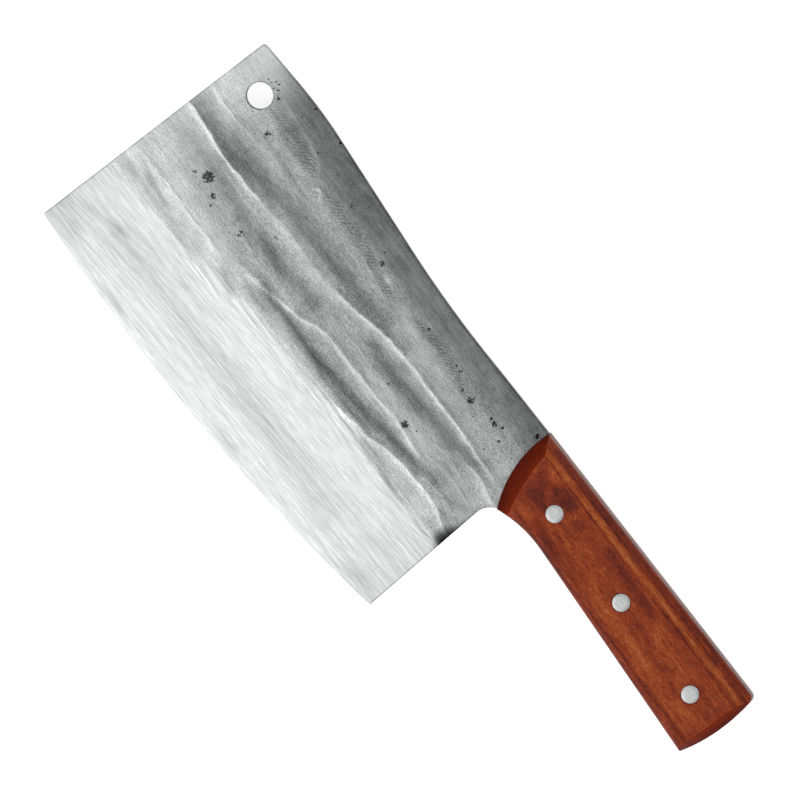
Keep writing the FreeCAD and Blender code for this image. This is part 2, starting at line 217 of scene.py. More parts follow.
def merge(grids):
    """The points and faces of several grids, with points that coincide made one."""
    points, faces = [], []
    for grid in grids:
        start = sum(len(part) for part in points)
        columns, rows = grid.shape[:2]
        index = start + np.arange(columns * rows).reshape(columns, rows)
        corners = [index[:-1, :-1], index[1:, :-1], index[1:, 1:], index[:-1, 1:]]
        faces.append(np.stack([corner.ravel() for corner in corners], axis=1))
        points.append(grid.reshape(-1, 2))
    points, faces = np.concatenate(points), np.concatenate(faces)
    _, kept, renamed = np.unique(np.round(points, 4), axis=0, return_index=True, return_inverse=True)
    return points[kept], renamed.reshape(-1)[faces]


def rim_edges(faces):
    """Edges that only one face has, each in that face's own direction."""
    edges = np.concatenate([np.stack([faces[:, side], faces[:, (side + 1) % 4]], axis=1)
                            for side in range(4)])
    _, index, count = np.unique(np.sort(edges, axis=1), axis=0, return_index=True, return_counts=True)
    return edges[index[count == 1]]


def solid_between(points, faces, upper, lower):
    """Vertices and faces of the closed solid between two heights over the same points."""
    count = len(points)
    vertices = np.concatenate([np.column_stack([points, upper]), np.column_stack([points, lower])])
    walls = [(b, a, a + count, b + count) for a, b in rim_edges(faces)]
    under = faces[:, ::-1] + count
    return vertices, faces.tolist() + under.tolist() + walls


def lathe(profile, centre_x, centre_y, steps=72):
    """A closed solid turned about an upright axis. The profile starts and ends on the axis."""
    angles = np.linspace(0.0, 2 * math.pi, steps, endpoint=False)
    rings = [np.column_stack([centre_x + radius * np.cos(angles),
                              centre_y + radius * np.sin(angles),
                              np.full(steps, z)]) for radius, z in profile[1:-1]]
    ends = [[centre_x, centre_y, profile[0][1]], [centre_x, centre_y, profile[-1][1]]]
    vertices = np.concatenate(rings + [np.array(ends)])
    bottom, top = len(rings) * steps, len(rings) * steps + 1
    faces = []
    for side in range(steps):
        ahead = (side + 1) % steps
        faces.append((bottom, ahead, side))
        faces.append((top, bottom - steps + side, bottom - steps + ahead))
        for ring in range(len(rings) - 1):
            low, high = ring * steps, (ring + 1) * steps
            faces.append((low + side, low + ahead, high + ahead, high + side))
    return vertices, faces


def cut_out(piece, cutters):
    """Take the cutters' solids out of a piece and keep the result as its mesh."""
    for vertices, faces in cutters:
        cutter = add_mesh("cutter", in_part(vertices), faces)
        modifier = piece.modifiers.new("cut", "BOOLEAN")
        modifier.operation = "DIFFERENCE"
        modifier.solver = "MANIFOLD"
        modifier.object = cutter
        bpy.context.view_layer.update()
        graph = bpy.context.evaluated_depsgraph_get()
        result = bpy.data.meshes.new_from_object(piece.evaluated_get(graph))
        result.materials.clear()
        piece.modifiers.clear()
        piece.data = result
        bpy.data.objects.remove(cutter)


def shade(piece, sharp_degrees):
    piece.data.polygons.foreach_set("use_smooth", [True] * len(piece.data.polygons))
    piece.data.set_sharp_from_angle(angle=math.radians(sharp_degrees))


def knife_points(piece):
    """The piece's vertices in the knife's frame, in millimetres."""
    flat = np.zeros(len(piece.data.vertices) * 3)
    piece.data.vertices.foreach_get("co", flat)
    return ((flat.reshape(-1, 3) - np.array(KNIFE)) / MM).T


def store(piece, name, values):
    attribute = piece.data.attributes.new(name, "FLOAT", "POINT")
    attribute.data.foreach_set("value", np.asarray(values, np.float32))


# ---------------------------------------------------------------- outline of the steel

TIP, TOE_X, HEEL_X, TIP_ROUND = (-258.6, 19.0), -257.4, -58.15, 1.5
PEAK_X, PEAK_Y, PEAK_RADIUS = -225.8, 20.5, 218.0
PEAK_FRONT, PEAK_REAR = -236.0, -215.0
SADDLE_FRONT, SADDLE_REAR, SADDLE_RADIUS = (-165.0, 16.65), (-100.0, 15.45), 500.0
BOLSTER = (-69.7, 16.25)
EDGE_X, EDGE_Y, EDGE_RADIUS = -203.6, 807.1, 900.0
CHOIL_LOW, CHOIL_TOP, CHOIL_RADIUS = (-62.09, -25.34), (-56.79, -16.93), 8.4
ARCH_REAR, ARCH_RADIUS = (-34.97, -13.27), 53.5
BUTT_X, BUTT_Y, BUTT_RADIUS, BUTT_ROUND = -9.0, 2.2, 72.0, 2.6
BUTT_SPINE_Y, BUTT_BELLY_Y = 18.4, -17.3
SCALE_LOW = (-58.3, -17.72)
FRONT_X, FRONT_Y, FRONT_RADIUS = -21.8, 13.43, 48.0


def edge_y(x):
    return EDGE_Y - math.sqrt(EDGE_RADIUS ** 2 - (x - EDGE_X) ** 2)


def edge_distance(x, y):
    """How far a point is inside the cutting edge."""
    return EDGE_RADIUS - np.hypot(x - EDGE_X, y - EDGE_Y)


def peak_point(x):
    return x, PEAK_Y - PEAK_RADIUS + math.sqrt(PEAK_RADIUS ** 2 - (x - PEAK_X) ** 2)


def butt_point(y):
    return BUTT_X + math.sqrt(BUTT_RADIUS ** 2 - (y - BUTT_Y) ** 2), y


TOE, HEEL = (TOE_X, edge_y(TOE_X)), (HEEL_X, edge_y(HEEL_X))
TIP_ARC = rounded(TOE, TIP, peak_point(PEAK_FRONT), TIP_ROUND)
BUTT_SPINE, BUTT_BELLY = butt_point(BUTT_SPINE_Y), butt_point(BUTT_BELLY_Y)
BUTT_ARC = rounded(BOLSTER, BUTT_SPINE, butt_point(BUTT_Y), BUTT_ROUND)
TANG_FRONT_X = CHOIL_TOP[0]
SPINE_SLOPE = (BUTT_SPINE[1] - BOLSTER[1]) / (BUTT_SPINE[0] - BOLSTER[0])
TANG_FRONT = (TANG_FRONT_X, BOLSTER[1] + SPINE_SLOPE * (TANG_FRONT_X - BOLSTER[0]))

BLADE_SPINE = join(TIP_ARC, arc(peak_point(PEAK_FRONT), peak_point(PEAK_REAR), PEAK_RADIUS, -1),
                   arc(SADDLE_FRONT, SADDLE_REAR, SADDLE_RADIUS, 1), line(BOLSTER, TANG_FRONT))
BLADE_EDGE = arc(TOE, HEEL, EDGE_RADIUS, 1)
BLADE_FRONT = line(TOE, TIP_ARC[0])
SEAM = line(CHOIL_TOP, TANG_FRONT)
HEEL_LINE = join(line(HEEL, CHOIL_LOW), arc(CHOIL_LOW, CHOIL_TOP, CHOIL_RADIUS, -1))
TANG_SPINE = line(TANG_FRONT, BUTT_ARC[0])
ARCH = arc(CHOIL_TOP, ARCH_REAR, ARCH_RADIUS, -1)
TANG_BELLY = join(ARCH, line(ARCH_REAR, BUTT_BELLY))
BUTT_CURVE = join(arc(BUTT_BELLY, BUTT_ARC[-1], BUTT_RADIUS, 1), BUTT_ARC[::-1])
SCALE_FRONT = arc(SCALE_LOW, BOLSTER, FRONT_RADIUS, -1)

# ---------------------------------------------------------------- hammered surface
# A stroke runs along a curve. It is above wide towards the spine and below wide towards the
# edge, and adds to the steel's grey and to its height. Points, widths and heights are in mm.
# They are placed and weighed so that the marks lie where the real knife has them.

Stroke = namedtuple("Stroke", "points above below grey height", defaults=(0.0,))


def level(first_x, last_x, y, width, grey):
    """A straight stroke along the knife, as wide above its line as below it."""
    return Stroke([(first_x, y), (last_x, y)], width, width, grey)


CREST_FRONT = [(-259, -19), (-251, -19), (-239.5, -20), (-218.5, -20)]
CREST_RISE = [(-164.5, -16.5), (-156, -15.5), (-148, -14), (-140.5, -12), (-129.5, -10.5)]
CREST_REAR = [(-131, -10.5), (-109, -11), (-93.5, -11), (-72, -12)]
LOW_CREST = [(-190.5, -41.5), (-171.5, -36), (-164, -34), (-158, -31.5), (-144.5, -29.5),
             (-131, -29.5), (-109, -29), (-93.5, -30)]
HEEL_CREST = [(-130.5, -45), (-120, -43), (-109, -40.5), (-99, -38), (-86, -36.5), (-74, -36.5),
              (-63, -39.5)]

# The crests' grey is painted light: a painted highlight on the edge side of each crest and painted shade
# on its spine side.
CRESTS = [
    Stroke(CREST_FRONT, 5, 0.3, -0.10),
    Stroke(CREST_FRONT, 0.3, 1.3, 0.20, 0.12),
    Stroke([(-221.5, -20.5), (-210.5, -20.5), (-198, -19), (-167.5, -18), (-161.5, -17.5)],
           1, 4.5, 0.10, 0.14),
    Stroke(CREST_RISE, 3, 0.3, -0.06),
    Stroke(CREST_RISE, 0.4, 1.5, 0.16, 0.14),
    Stroke(CREST_REAR, 0.5, 1.3, 0.17, 0.12),
    Stroke(LOW_CREST, 0.9, 1.6, 0.13, 0.14),
    Stroke(HEEL_CREST, 0.8, 1.9, 0.15, 0.18),
    Stroke([(-202, 0), (-199, 2), (-196, -1)], 0.7, 0.9, 0.15, 0.05),
    Stroke([(-259, -7.5), (-251, -8), (-242, -8)], 0.5, 0.9, 0.13, 0.04),
    Stroke([(-75.5, -16), (-68.5, -17), (-60.5, -18.5)], 1.2, 2.2, 0.14, 0.06),
]
# The valleys' grey darkens the hammered hollows, partly as painted shade.
VALLEYS = [
    Stroke([(-259, -15), (-242, -15.5), (-218.5, -14.5), (-203, -13), (-187, -11.5), (-164, -10),
            (-148, -9), (-140, -8)], 5, 3.4, -0.15, -0.24),
    Stroke([(-142, -16), (-130.5, -19), (-121, -18.5), (-105.5, -17.5), (-86, -15.5), (-74, -13.5)],
           2.6, 3.4, -0.19, -0.18),
    Stroke([(-182.5, -39.5), (-167.5, -39), (-148, -39), (-132.5, -38), (-117, -36.5),
            (-105.5, -35), (-93.5, -32.5), (-79.5, -30)], 2.6, 2, -0.24, -0.18),
    Stroke([(-148, -40.5), (-136.5, -41.5), (-125, -41.5), (-117, -40.5)], 1.2, 1.2, -0.14, -0.06),
    Stroke([(-259, -28), (-248, -25.5), (-226, -27), (-199, -28), (-181, -28.5), (-156, -28)],
           3, 3, -0.08, -0.10),
    Stroke([(-198, -28), (-190.5, -28), (-181, -28.5)], 2.4, 2.8, -0.09, -0.05),
    Stroke([(-177, -26.5), (-164, -27), (-155, -28)], 2.4, 1.6, -0.08, -0.06),
    Stroke([(-115.5, -43), (-101.5, -44), (-89.5, -46)], 1.4, 1.6, -0.13, -0.06),
    Stroke([(-129.5, -45.5), (-115.5, -45.5)], 0.6, 0.8, -0.10),
    Stroke([(-100, -46.5), (-82, -46.5)], 0.9, 1, -0.11),
    Stroke([(-82.5, -32), (-70.5, -31.5)], 1.6, 1.2, -0.09, -0.04),
]
CHATTER = [
    Stroke([(-236.5, 7), (-221.5, 6), (-206, 3)], 2.7, 2.7, -0.09, -0.06),
    Stroke([(-197.5, 3), (-179.5, 2.5), (-160, 1), (-148, -1)], 2.2, 2.2, -0.07, -0.05),
    Stroke([(-137.5, 1.5), (-125, 2), (-113, 1.5), (-97.5, -1.5)], 1.9, 1.9, -0.10, -0.05),
]
# The first three strokes are painted highlights along the top edges of the chatter bands; the others
# lighten or darken patches and lines of the steel.
PAINTED = [
    Stroke([(-236, 10.4), (-218.5, 9.6), (-210.5, 7.6), (-203.5, 4.2)], 0.6, 0.5, 0.08),
    Stroke([(-196.5, 6), (-175.5, 6), (-164, 4), (-154.5, 1.6), (-148, 0)], 0.6, 0.5, 0.06),
    Stroke([(-132.5, 4.4), (-114, 4.4), (-107.5, 2.8)], 0.6, 0.5, 0.05),
    Stroke([(-236.5, 3), (-221.5, 1.5), (-207.5, 0.5)], 0.8, 1.2, 0.05),
    Stroke([(-231.5, -3.5), (-210.5, -4), (-201, -4.5)], 0.6, 0.6, -0.09),
    Stroke([(-121.5, -28), (-110, -28.4)], 0.6, 0.8, 0.08),
    Stroke([(-252, -47), (-242, -48.5), (-230, -50.5)], 1.2, 1.3, -0.14),
    Stroke([(-255, -53), (-234, -52.5), (-208, -52.5)], 3.2, 3.4, -0.09),
    Stroke([(-199, -49), (-187, -50.5)], 2.4, 2.4, -0.13),
    Stroke([(-187, -45.5), (-173, -43.5)], 1.5, 1.5, -0.14),
    Stroke([(-251, -75), (-242, -72.5), (-230, -70)], 1, 2, -0.07),
    Stroke([(-234, -66.5), (-203, -62.5), (-179.5, -60)], 2.5, 3, -0.03),
    Stroke([(-164, -68), (-117, -65.5), (-70, -63.5)], 3, 3.5, -0.04),
    Stroke([(-78, -80), (-60, -76.5)], 2.5, 3, -0.06),
    Stroke([(-152, -87.5), (-136.5, -87)], 0.9, 1.1, -0.08),
    Stroke([(-222.5, -90.5), (-206, -90)], 0.8, 0.9, -0.09),
    Stroke([(-259, -84), (-241, -86)], 8, 6, -0.06),
    Stroke([(-168, 12), (-130, 12), (-92, 12)], 2.5, 2.5, 0.05),
    Stroke([(-228, 2.6), (-214, 2.2)], 1.8, 1.8, -0.08),
    Stroke([(-163, 2.4), (-153, 2)], 2, 2, 0.08),
    level(-146, -122, -2.5, 2, 0.05),
    level(-228, -213, -7, 2.5, 0.07),
    level(-165, -137, -7, 2, 0.05),
    level(-180, -152, -12, 2.2, -0.07),
    Stroke([(-148, -15.6), (-136, -15.6)], 2.6, 2, 0.07),
    level(-130, -105, -16.4, 1.6, -0.06),
    level(-86, -74, -16.4, 1.8, 0.09),
    level(-163, -153, -28, 3.8, 0.11),
    level(-134, -90, -26, 2.2, 0.07),
    level(-212, -184, -30.6, 2.4, -0.06),
    level(-101, -74, -31, 2.2, 0.11),
    level(-179, -168, -35.3, 2, 0.10),
    Stroke([(-86, -35.5), (-72, -36)], 1.8, 1.8, 0.06),
    level(-132, -106, -40, 1.8, -0.08),
    level(-101, -72, -40, 2, 0.09),
    level(-258, -246, -48.5, 2.5, 0.08),
    Stroke([(-196, -56), (-150, -55)], 2.5, 2.5, 0.03),
    Stroke([(-238, -72), (-165, -72), (-92, -72)], 4.5, 4.5, -0.07),
]
# Tones from the cutting edge to the spine. Towards the tip the bands rise and pale to TIP_TONE.
EDGE_TONE, FORGED_TONE, SPINE_TONE, TIP_TONE, HEEL_DIM = 0.86, 0.66, 0.43, 0.83, 0.05
FORGED_Y, FORGED_FADE, SPINE_Y, SPINE_FADE, TIP_RISE = -44.0, 7.0, 4.0, 9.0, 6.0
RISE_X, PALE_X, DIM_X = (-240.0, -180.0), (-258.0, -225.0), (-100.0, -60.0)
GRIND_LINE = [(-259, -59), (-218.5, -55.5), (-198, -53), (-187, -51), (-160, -49), (-140.5, -47.5),
              (-101.5, -47.5), (-60, -46.5)]
# Corrosion pits: place, radius and depth from 0 to 1.
PITS = [
    (-230, -30.5, 2.9, 0.85), (-235, -33.5, 1.1, 0.85), (-223, -33.5, 1.7, 0.78),
    (-220.5, -36.5, 0.9, 0.8), (-204.5, -33.5, 1.9, 0.62), (-195, -23.5, 0.7, 1),
    (-246.2, 11.9, 0.6, 0.85), (-244.4, 11.8, 0.6, 0.85), (-243.7, 13.4, 0.6, 0.8),
    (-242.5, 14, 0.7, 0.8), (-242.5, 11.2, 0.6, 0.9), (-240.6, 12.3, 0.6, 0.9),
    (-239.2, 11.3, 0.8, 0.9), (-237.8, 10.3, 0.9, 0.9), (-229.5, -1.5, 1.6, 0.78),
    (-130.5, 3, 0.9, 0.8), (-112.5, 3, 0.9, 0.8), (-110, 3, 1.1, 0.85),
    (-103.5, -0.5, 0.8, 0.9), (-98.5, -0.5, 2, 0.72), (-93, -3, 0.9, 0.75),
    (-88, 1.5, 1, 0.85), (-85.5, 1.2, 1.4, 0.8), (-82.5, 3, 0.9, 0.85),
    (-79, -1.5, 0.9, 0.75), (-71.5, 12, 1.3, 0.7), (-136.5, -21.5, 0.6, 0.9),
    (-131.5, -20, 0.6, 0.9), (-123, -22.5, 0.7, 1), (-106.5, -27, 1.8, 0.9),
    (-101.5, -25, 0.7, 0.8), (-162, 4, 1.5, 0.75), (-165, 7, 0.8, 0.8),
    (-187, 8, 1.8, 0.55), (-211.5, 10, 0.8, 0.75), (-226.5, 13.5, 0.7, 0.8),
    (-226, 19.3, 0.8, 0.9), (-209.5, 19.2, 0.8, 0.9), (-80, -8, 0.6, 0.9),
    (-128.5, -10.2, 0.6, 0.9), (-71, -1.5, 0.5, 0.9),
]
RIGHT_SHIFT = (23.0, 4.5)
RIDGE_REACH, RIDGE_SPAN = 4.0, 1000.0
# Lines where two hammered hollows meet, and how sharp each is from 0 to 1.
RIDGE_LINES = [
    ([(-259, -19), (-251, -19), (-239.5, -20), (-218.5, -20), (-210, -19.4)], 1),
    ([(-206, -19.6), (-198, -18.6), (-182, -18.2), (-170, -17.8)], 0.3),
    (CREST_RISE, 0.8),
    (CREST_REAR, 0.75),
    (LOW_CREST, 0.7),
    (HEEL_CREST, 0.75),
    ([(-259, -7.5), (-251, -8), (-242, -8), (-232, -7.2)], 0.5),
    ([(-202, 0), (-199, 2), (-196, -1)], 0.7),
    ([(-168, -0.2), (-160, -1.6), (-150, -3.6)], 0.4),
    ([(-82, -17.2), (-74, -15.6), (-64, -17.5)], 0.6),
    ([(-143, -21), (-136, -20.2), (-131, -24)], 0.4),
    ([(-198, -41), (-186, -39.8), (-176, -37.8)], 0.5),
    ([(-256, -45.5), (-240, -44.6), (-205, -45.2)], 0.6),
    ([(-150, -24), (-141, -23), (-132, -23.6)], 0.4),
    ([(-96, -23), (-86, -20.6), (-76, -21.6)], 0.45),
    ([(-94, -27), (-80, -25), (-66, -26)], 0.4),
    ([(-84, -33.4), (-76, -31.8), (-68, -33)], 0.5),
    ([(-214, -35), (-203, -33.6), (-192, -35.4)], 0.4),
    ([(-233, -24.4), (-222, -23.6), (-208, -24.6)], 0.3),
]
# A dark patch that hugs the heel.
HEEL_DARKENING, HEEL_DARK_Y, HEEL_DARK_ABOVE, HEEL_DARK_BELOW = 0.54, -43.6, 9.0, 2.2


def stroke_share(stroke, x, y, cusp=False):
    """How much of a stroke there is at each point, from 0 to 1."""
    first, last = stroke.points[0][0], stroke.points[-1][0]
    fade = min(9.0, 0.35 * (last - first) + 1.0)
    ends = smooth_step(x, first - fade / 2, first + fade / 2)
    ends = ends * (1 - smooth_step(x, last - fade / 2, last + fade / 2))
    across = y - smooth_curve(stroke.points, x)
    width = np.where(across > 0, stroke.above, stroke.below)
    away = np.abs(across) / width
    return ends * (np.exp(-away) if cusp else np.exp(-away ** 2))


def wander(x, y):
    """How far the hammer's marks stray from their strokes."""
    return 0.55 * lattice_noise(x, y, 11, 6, 3) + 0.3 * lattice_noise(x, y, 3.1, 2.3, 4)


def base_tone(x, y):
    """Bright at the edge, grey on the forged face and dark at the spine."""
    rise = TIP_RISE * (1 - smooth_step(x, *RISE_X))
    forged = smooth_step(y, FORGED_Y + rise - FORGED_FADE, FORGED_Y + rise + FORGED_FADE)
    spine = smooth_step(y, SPINE_Y + rise - SPINE_FADE, SPINE_Y + rise + SPINE_FADE)
    tone = EDGE_TONE - HEEL_DIM * smooth_step(x, *DIM_X)
    tone = tone + (FORGED_TONE - tone) * forged
    tone = tone + (SPINE_TONE - tone) * spine
    return tone + (TIP_TONE - tone) * (1 - smooth_step(x, *PALE_X))


def steel_grey(x, y):
    """Grey of the polished and forged surface, with painted highlights and shade along the hammer marks.
    """
    grey = base_tone(x, y)
    stray = y + wander(x, y)
    for stroke in CRESTS + VALLEYS + CHATTER + PAINTED:
        grey = grey + stroke.grey * stroke_share(stroke, x, stray)
    forged = 1 - ground_share(x, y)
    lumps = 0.022 * lattice_noise(x, y, 5, 2.4, 11) + 0.018 * lattice_noise(x, y, 2.2, 1.6, 12)
    return grey + lumps * forged


def heel_darkening(x, y):
    """How much darker the steel is beside the heel, on both sides alike."""
    height = np.where(y > HEEL_DARK_Y, HEEL_DARK_ABOVE, HEEL_DARK_BELOW)
    darkened = np.exp(-((y - HEEL_DARK_Y) / height) ** 2)
    return HEEL_DARKENING * darkened * smooth_step(x, HEEL_X - 4.5 - 5 * darkened, HEEL_X - 3.2)


def crest_field(x, y):
    """Signed distance from the nearest ridge line, towards the spine, and how sharp it is there."""
    stray = y + wander(x, y)
    offset, sharp = np.full_like(x, RIDGE_REACH), np.zeros_like(x)
    for points, strength in RIDGE_LINES:
        across = stray - smooth_curve(points, x)
        ends = stroke_share(Stroke(points, RIDGE_SPAN, RIDGE_SPAN, 0.0), x, stray)
        nearer = (np.abs(across) < np.abs(offset)) & (ends > 0)
        fades = 1 - smooth_step(np.abs(across), 0.6 * RIDGE_REACH, 0.9 * RIDGE_REACH)
        offset = np.where(nearer, across, offset)
        sharp = np.where(nearer, strength * ends * fades, sharp)
    return offset, sharp


def ground_share(x, y):
    """0 on the forged surface and 1 on the ground bevel."""
    streaks = 1.8 * lattice_noise(x, y, 17, 0.9, 21) + 1.2 * lattice_noise(x, y, 8, 0.45, 22)
    above = y - smooth_curve(GRIND_LINE, x) + streaks
    return 1 - smooth_step(above, -3.2, 4.2)


def chatter_share(x, y):
    stray = y + wander(x, y)
    return np.clip(sum(stroke_share(stroke, x, stray) for stroke in CHATTER), 0, 1)


def pit_share(x, y):
    share = np.zeros_like(x)
    for pit_x, pit_y, radius, depth in PITS:
        away = np.hypot(x - pit_x, y - pit_y) / radius
        share = np.maximum(share, depth * np.exp(-away ** 4))
    return share


def relief(x, y):
    """Height of the hammer's marks above the forged face."""
    stray = y + wander(x, y)
    height = sum(stroke.height * stroke_share(stroke, x, stray, cusp=True) for stroke in CRESTS)
    height = height + sum(stroke.height * stroke_share(stroke, x, stray) for stroke in VALLEYS)
    height = height + sum(stroke.height * stroke_share(stroke, x, stray) for stroke in CHATTER)
    return height + 0.03 * lattice_noise(x, y, 14, 6, 31) + 0.012 * lattice_noise(x, y, 4, 3, 32)


# ---------------------------------------------------------------- blade and tang

# Half thickness of the forged bar down each section, as (y, half), at three places along it.
BAR_SECTIONS = [
    (-262.0, [(-57, 1.42), (-19, 1.52), (24, 1.6)]),
    (-160.0, [(-51, 1.62), (-19, 1.82), (24, 1.9)]),
    (-58.0, [(-47, 1.45), (-19, TANG_HALF), (24, TANG_HALF)]),
]
SHARPENED, EDGE_HALF, FOOT_HALF, BEVEL_SLOPE = 0.8, 0.06, 0.25, 0.036
BLADE_CELL, TANG_CELL = 0.78, 1.6
STEEL_SOFT_EDGE, STEEL_SOFT_DEPTH, BEVEL_BLEND = 0.28, 0.22, 0.05
HOLE_FLARE, CUTTER_REACH, STEEL_SHARP = 0.25, 3.0, 40
SATIN_Y, RIM_SHADE_FADE, BORE_SHADE_FADE = (4.0, 8.0), 0.3, (0.1, 0.3)
BLADE_OUTLINE = join(BLADE_EDGE, HEEL_LINE, TANG_BELLY, BUTT_CURVE, TANG_SPINE[::-1],
                     BLADE_SPINE[::-1], BLADE_FRONT[::-1])[:-1]
HANDLE_CLEAR = (0.6, 5.0)


def bar_half(x, y):
    places = [place for place, _ in BAR_SECTIONS]
    columns = [np.interp(y, *np.array(rows).T) for _, rows in BAR_SECTIONS]
    first = np.clip((x - places[0]) / (places[1] - places[0]), 0, 1)
    second = np.clip((x - places[1]) / (places[2] - places[1]), 0, 1)
    return np.where(x < places[1], columns[0] * (1 - first) + columns[1] * first,
                    columns[1] * (1 - second) + columns[2] * second)


def bevel_half(x, y):
    """Half thickness that the ground bevel and the sharpened edge leave."""
    inside = edge_distance(x, y)
    sharp = EDGE_HALF + (FOOT_HALF - EDGE_HALF) * inside / SHARPENED
    return np.where(inside < SHARPENED, sharp, FOOT_HALF + BEVEL_SLOPE * (inside - SHARPENED))


def steel_half(x, y, side, rim):
    """Half thickness of the finished steel on one side, hammer marks and softened rim included."""
    shift_x, shift_y = RIGHT_SHIFT if side == RIGHT else (0.0, 0.0)
    from_handle = np.hypot(x - FRONT_X, y - FRONT_Y) - FRONT_RADIUS
    free = smooth_step(from_handle, *HANDLE_CLEAR) * (x < TANG_FRONT_X)
    forged = bar_half(x, y) + relief(x + shift_x, y + shift_y) * free
    bevel = bevel_half(x, y)
    half = -BEVEL_BLEND * np.logaddexp(-forged / BEVEL_BLEND, -bevel / BEVEL_BLEND)
    half = np.where(x < TANG_FRONT_X, half, TANG_HALF)
    outside = np.clip(1 - rim / STEEL_SOFT_EDGE, 0, 1) * (edge_distance(x, y) > 1.0)
    return np.maximum(half - STEEL_SOFT_DEPTH * outside ** 2, EDGE_HALF)


def steel_points():
    """Grid over the blade and the tang, joined along a line under the front of the handle."""
    low, high = np.linalg.norm(np.diff(HEEL_LINE, axis=0), axis=1).sum(), SEAM[1][1] - SEAM[0][1]
    lower = shares(low, BLADE_CELL, end=False) * low
    upper = shares(high, BLADE_CELL, start=False) * high
    up = np.concatenate([lower, low + upper[1:]]) / (low + high)
    across = shares(TANG_FRONT_X - TIP[0], BLADE_CELL)
    blade = patch(BLADE_EDGE, BLADE_SPINE, BLADE_FRONT, join(HEEL_LINE, SEAM), across, up)
    back = shares(BUTT_X + BUTT_RADIUS - TANG_FRONT_X, TANG_CELL, start=False)
    tang = patch(TANG_BELLY, TANG_SPINE, SEAM, BUTT_CURVE, back, upper / high)
    tang[0] = blade[-1, -len(upper):]
    return merge([blade, tang])


def hole_cutter(x, y, radius, half, flare):
    """A cutter for a round hole whose mouths are flared."""
    out = radius + flare + CUTTER_REACH - half
    profile = [(0, -CUTTER_REACH), (out, -CUTTER_REACH), (radius, -half + flare),
               (radius, half - flare), (out, CUTTER_REACH), (0, CUTTER_REACH)]
    return lathe(profile, x, y)


def paint_blade(blade):
    """What the steel's material reads: tones, marks, painted shade along the rim and in the hanging
    hole, and distances from edges and ridges.
    """
    x, y, z = knife_points(blade)
    shift_x, shift_y = np.where(z < 0, RIGHT_SHIFT[0], 0.0), np.where(z < 0, RIGHT_SHIFT[1], 0.0)
    marked_x, marked_y = x + shift_x, y + shift_y
    ground = ground_share(x, y)
    marked_y = marked_y * (1 - ground) + y * ground
    store(blade, "grey", steel_grey(marked_x, marked_y) - heel_darkening(x, y))
    store(blade, "ground", ground)
    store(blade, "chatter", chatter_share(marked_x, marked_y) * (1 - ground))
    store(blade, "pits", pit_share(marked_x, marked_y))
    store(blade, "satin", smooth_step(marked_y, *SATIN_Y))
    offset, sharp = crest_field(marked_x, marked_y)
    store(blade, "ridge_offset", offset)
    store(blade, "ridge_sharp", sharp * (1 - ground))
    rim = outline_distance(np.column_stack([x, y]), BLADE_OUTLINE)
    # Painted shade along the rim of the steel, strongest at the outline.
    store(blade, "outline", np.exp(-rim / RIM_SHADE_FADE))
    # Painted shade on the wall of the hanging hole and its flared mouths.
    from_hole = np.hypot(x - HOLE_X, y - HOLE_Y) - HOLE_RADIUS
    store(blade, "bore_shade", 1 - smooth_step(from_hole, *BORE_SHADE_FADE))


def make_blade():
    points, faces = steel_points()
    rim = outline_distance(points, BLADE_OUTLINE)
    upper, lower = (steel_half(*points.T, side, rim) for side in (LEFT, RIGHT))
    vertices, faces = solid_between(points, faces, upper, -lower)
    blade = new_piece("blade_steel", vertices, faces, "blade")
    cutters = [hole_cutter(HOLE_X, HOLE_Y, HOLE_RADIUS, HOLE_HALF, HOLE_FLARE)]
    cutters += [hole_cutter(place, 0.0, SHANK_HOLE, TANG_HALF, 0.0) for place in RIVET_X.values()]
    cut_out(blade, cutters)
    shade(blade, STEEL_SHARP)
    paint_blade(blade)
    blade.data.materials.append(forged_steel())


# ---------------------------------------------------------------- wooden scales

SHANK_HOLE, SHANK, BORE, BORE_FLOOR, END_GAP = 2.6, 2.5, 1.5, 1.2, 0.6
HEAD_THICKNESS, SEAT_GAP, PIN_GAP = 2.0, 0.02, 0.01
FACET_INNER_Y = 11.0
FACET_ENDS = (-74.0, 68.0)
FACET_Y, FACET_DROP = (13.8, 15.5), (2.3, 2.9)
WALL_Y, WALL_DROP = (16.1, 18.4), 5.0
BELLY_ROUND = 3.4
FRONT_DROP, FRONT_LINE, FRONT_LEAN, FRONT_BOW = 5.2, -59.75, 0.355, 0.81
BUTT_DROP, BUTT_LINE = 4.6, 58.9
SCALE_CELL = 0.46
CREASE = 0.16
WOOD_SOFT_EDGE, WOOD_SOFT_DEPTH, LEAST_WOOD, WOOD_SHARP = 0.45, 0.35, 1.0, 35
SEAT_FLARE, SEAT_FLARE_DEPTH, CUTTER_PROUD = 0.3, 0.12, 0.16


def front_bevel(x, y):
    """Drop of the bevel at the front of the handle, between its bowed inner and outer lines."""
    inner = FRONT_LINE - FRONT_LEAN * y - FRONT_BOW * (1 - (y / FACET_INNER_Y) ** 2)
    outer = FRONT_X - np.sqrt(FRONT_RADIUS ** 2 - (y - FRONT_Y) ** 2)
    return FRONT_DROP * (inner - x) / (inner - outer)


def butt_bevel(x, y):
    outer = BUTT_X + np.sqrt(BUTT_RADIUS ** 2 - (y - BUTT_Y) ** 2)
    return BUTT_DROP * (x - BUTT_LINE) / (outer - BUTT_LINE)


def facet_lines(x):
    """Place and drop of the line between the facets, and place of the wall, at x."""
    return [np.interp(x, FACET_ENDS, ends) for ends in (FACET_Y, FACET_DROP, WALL_Y)]


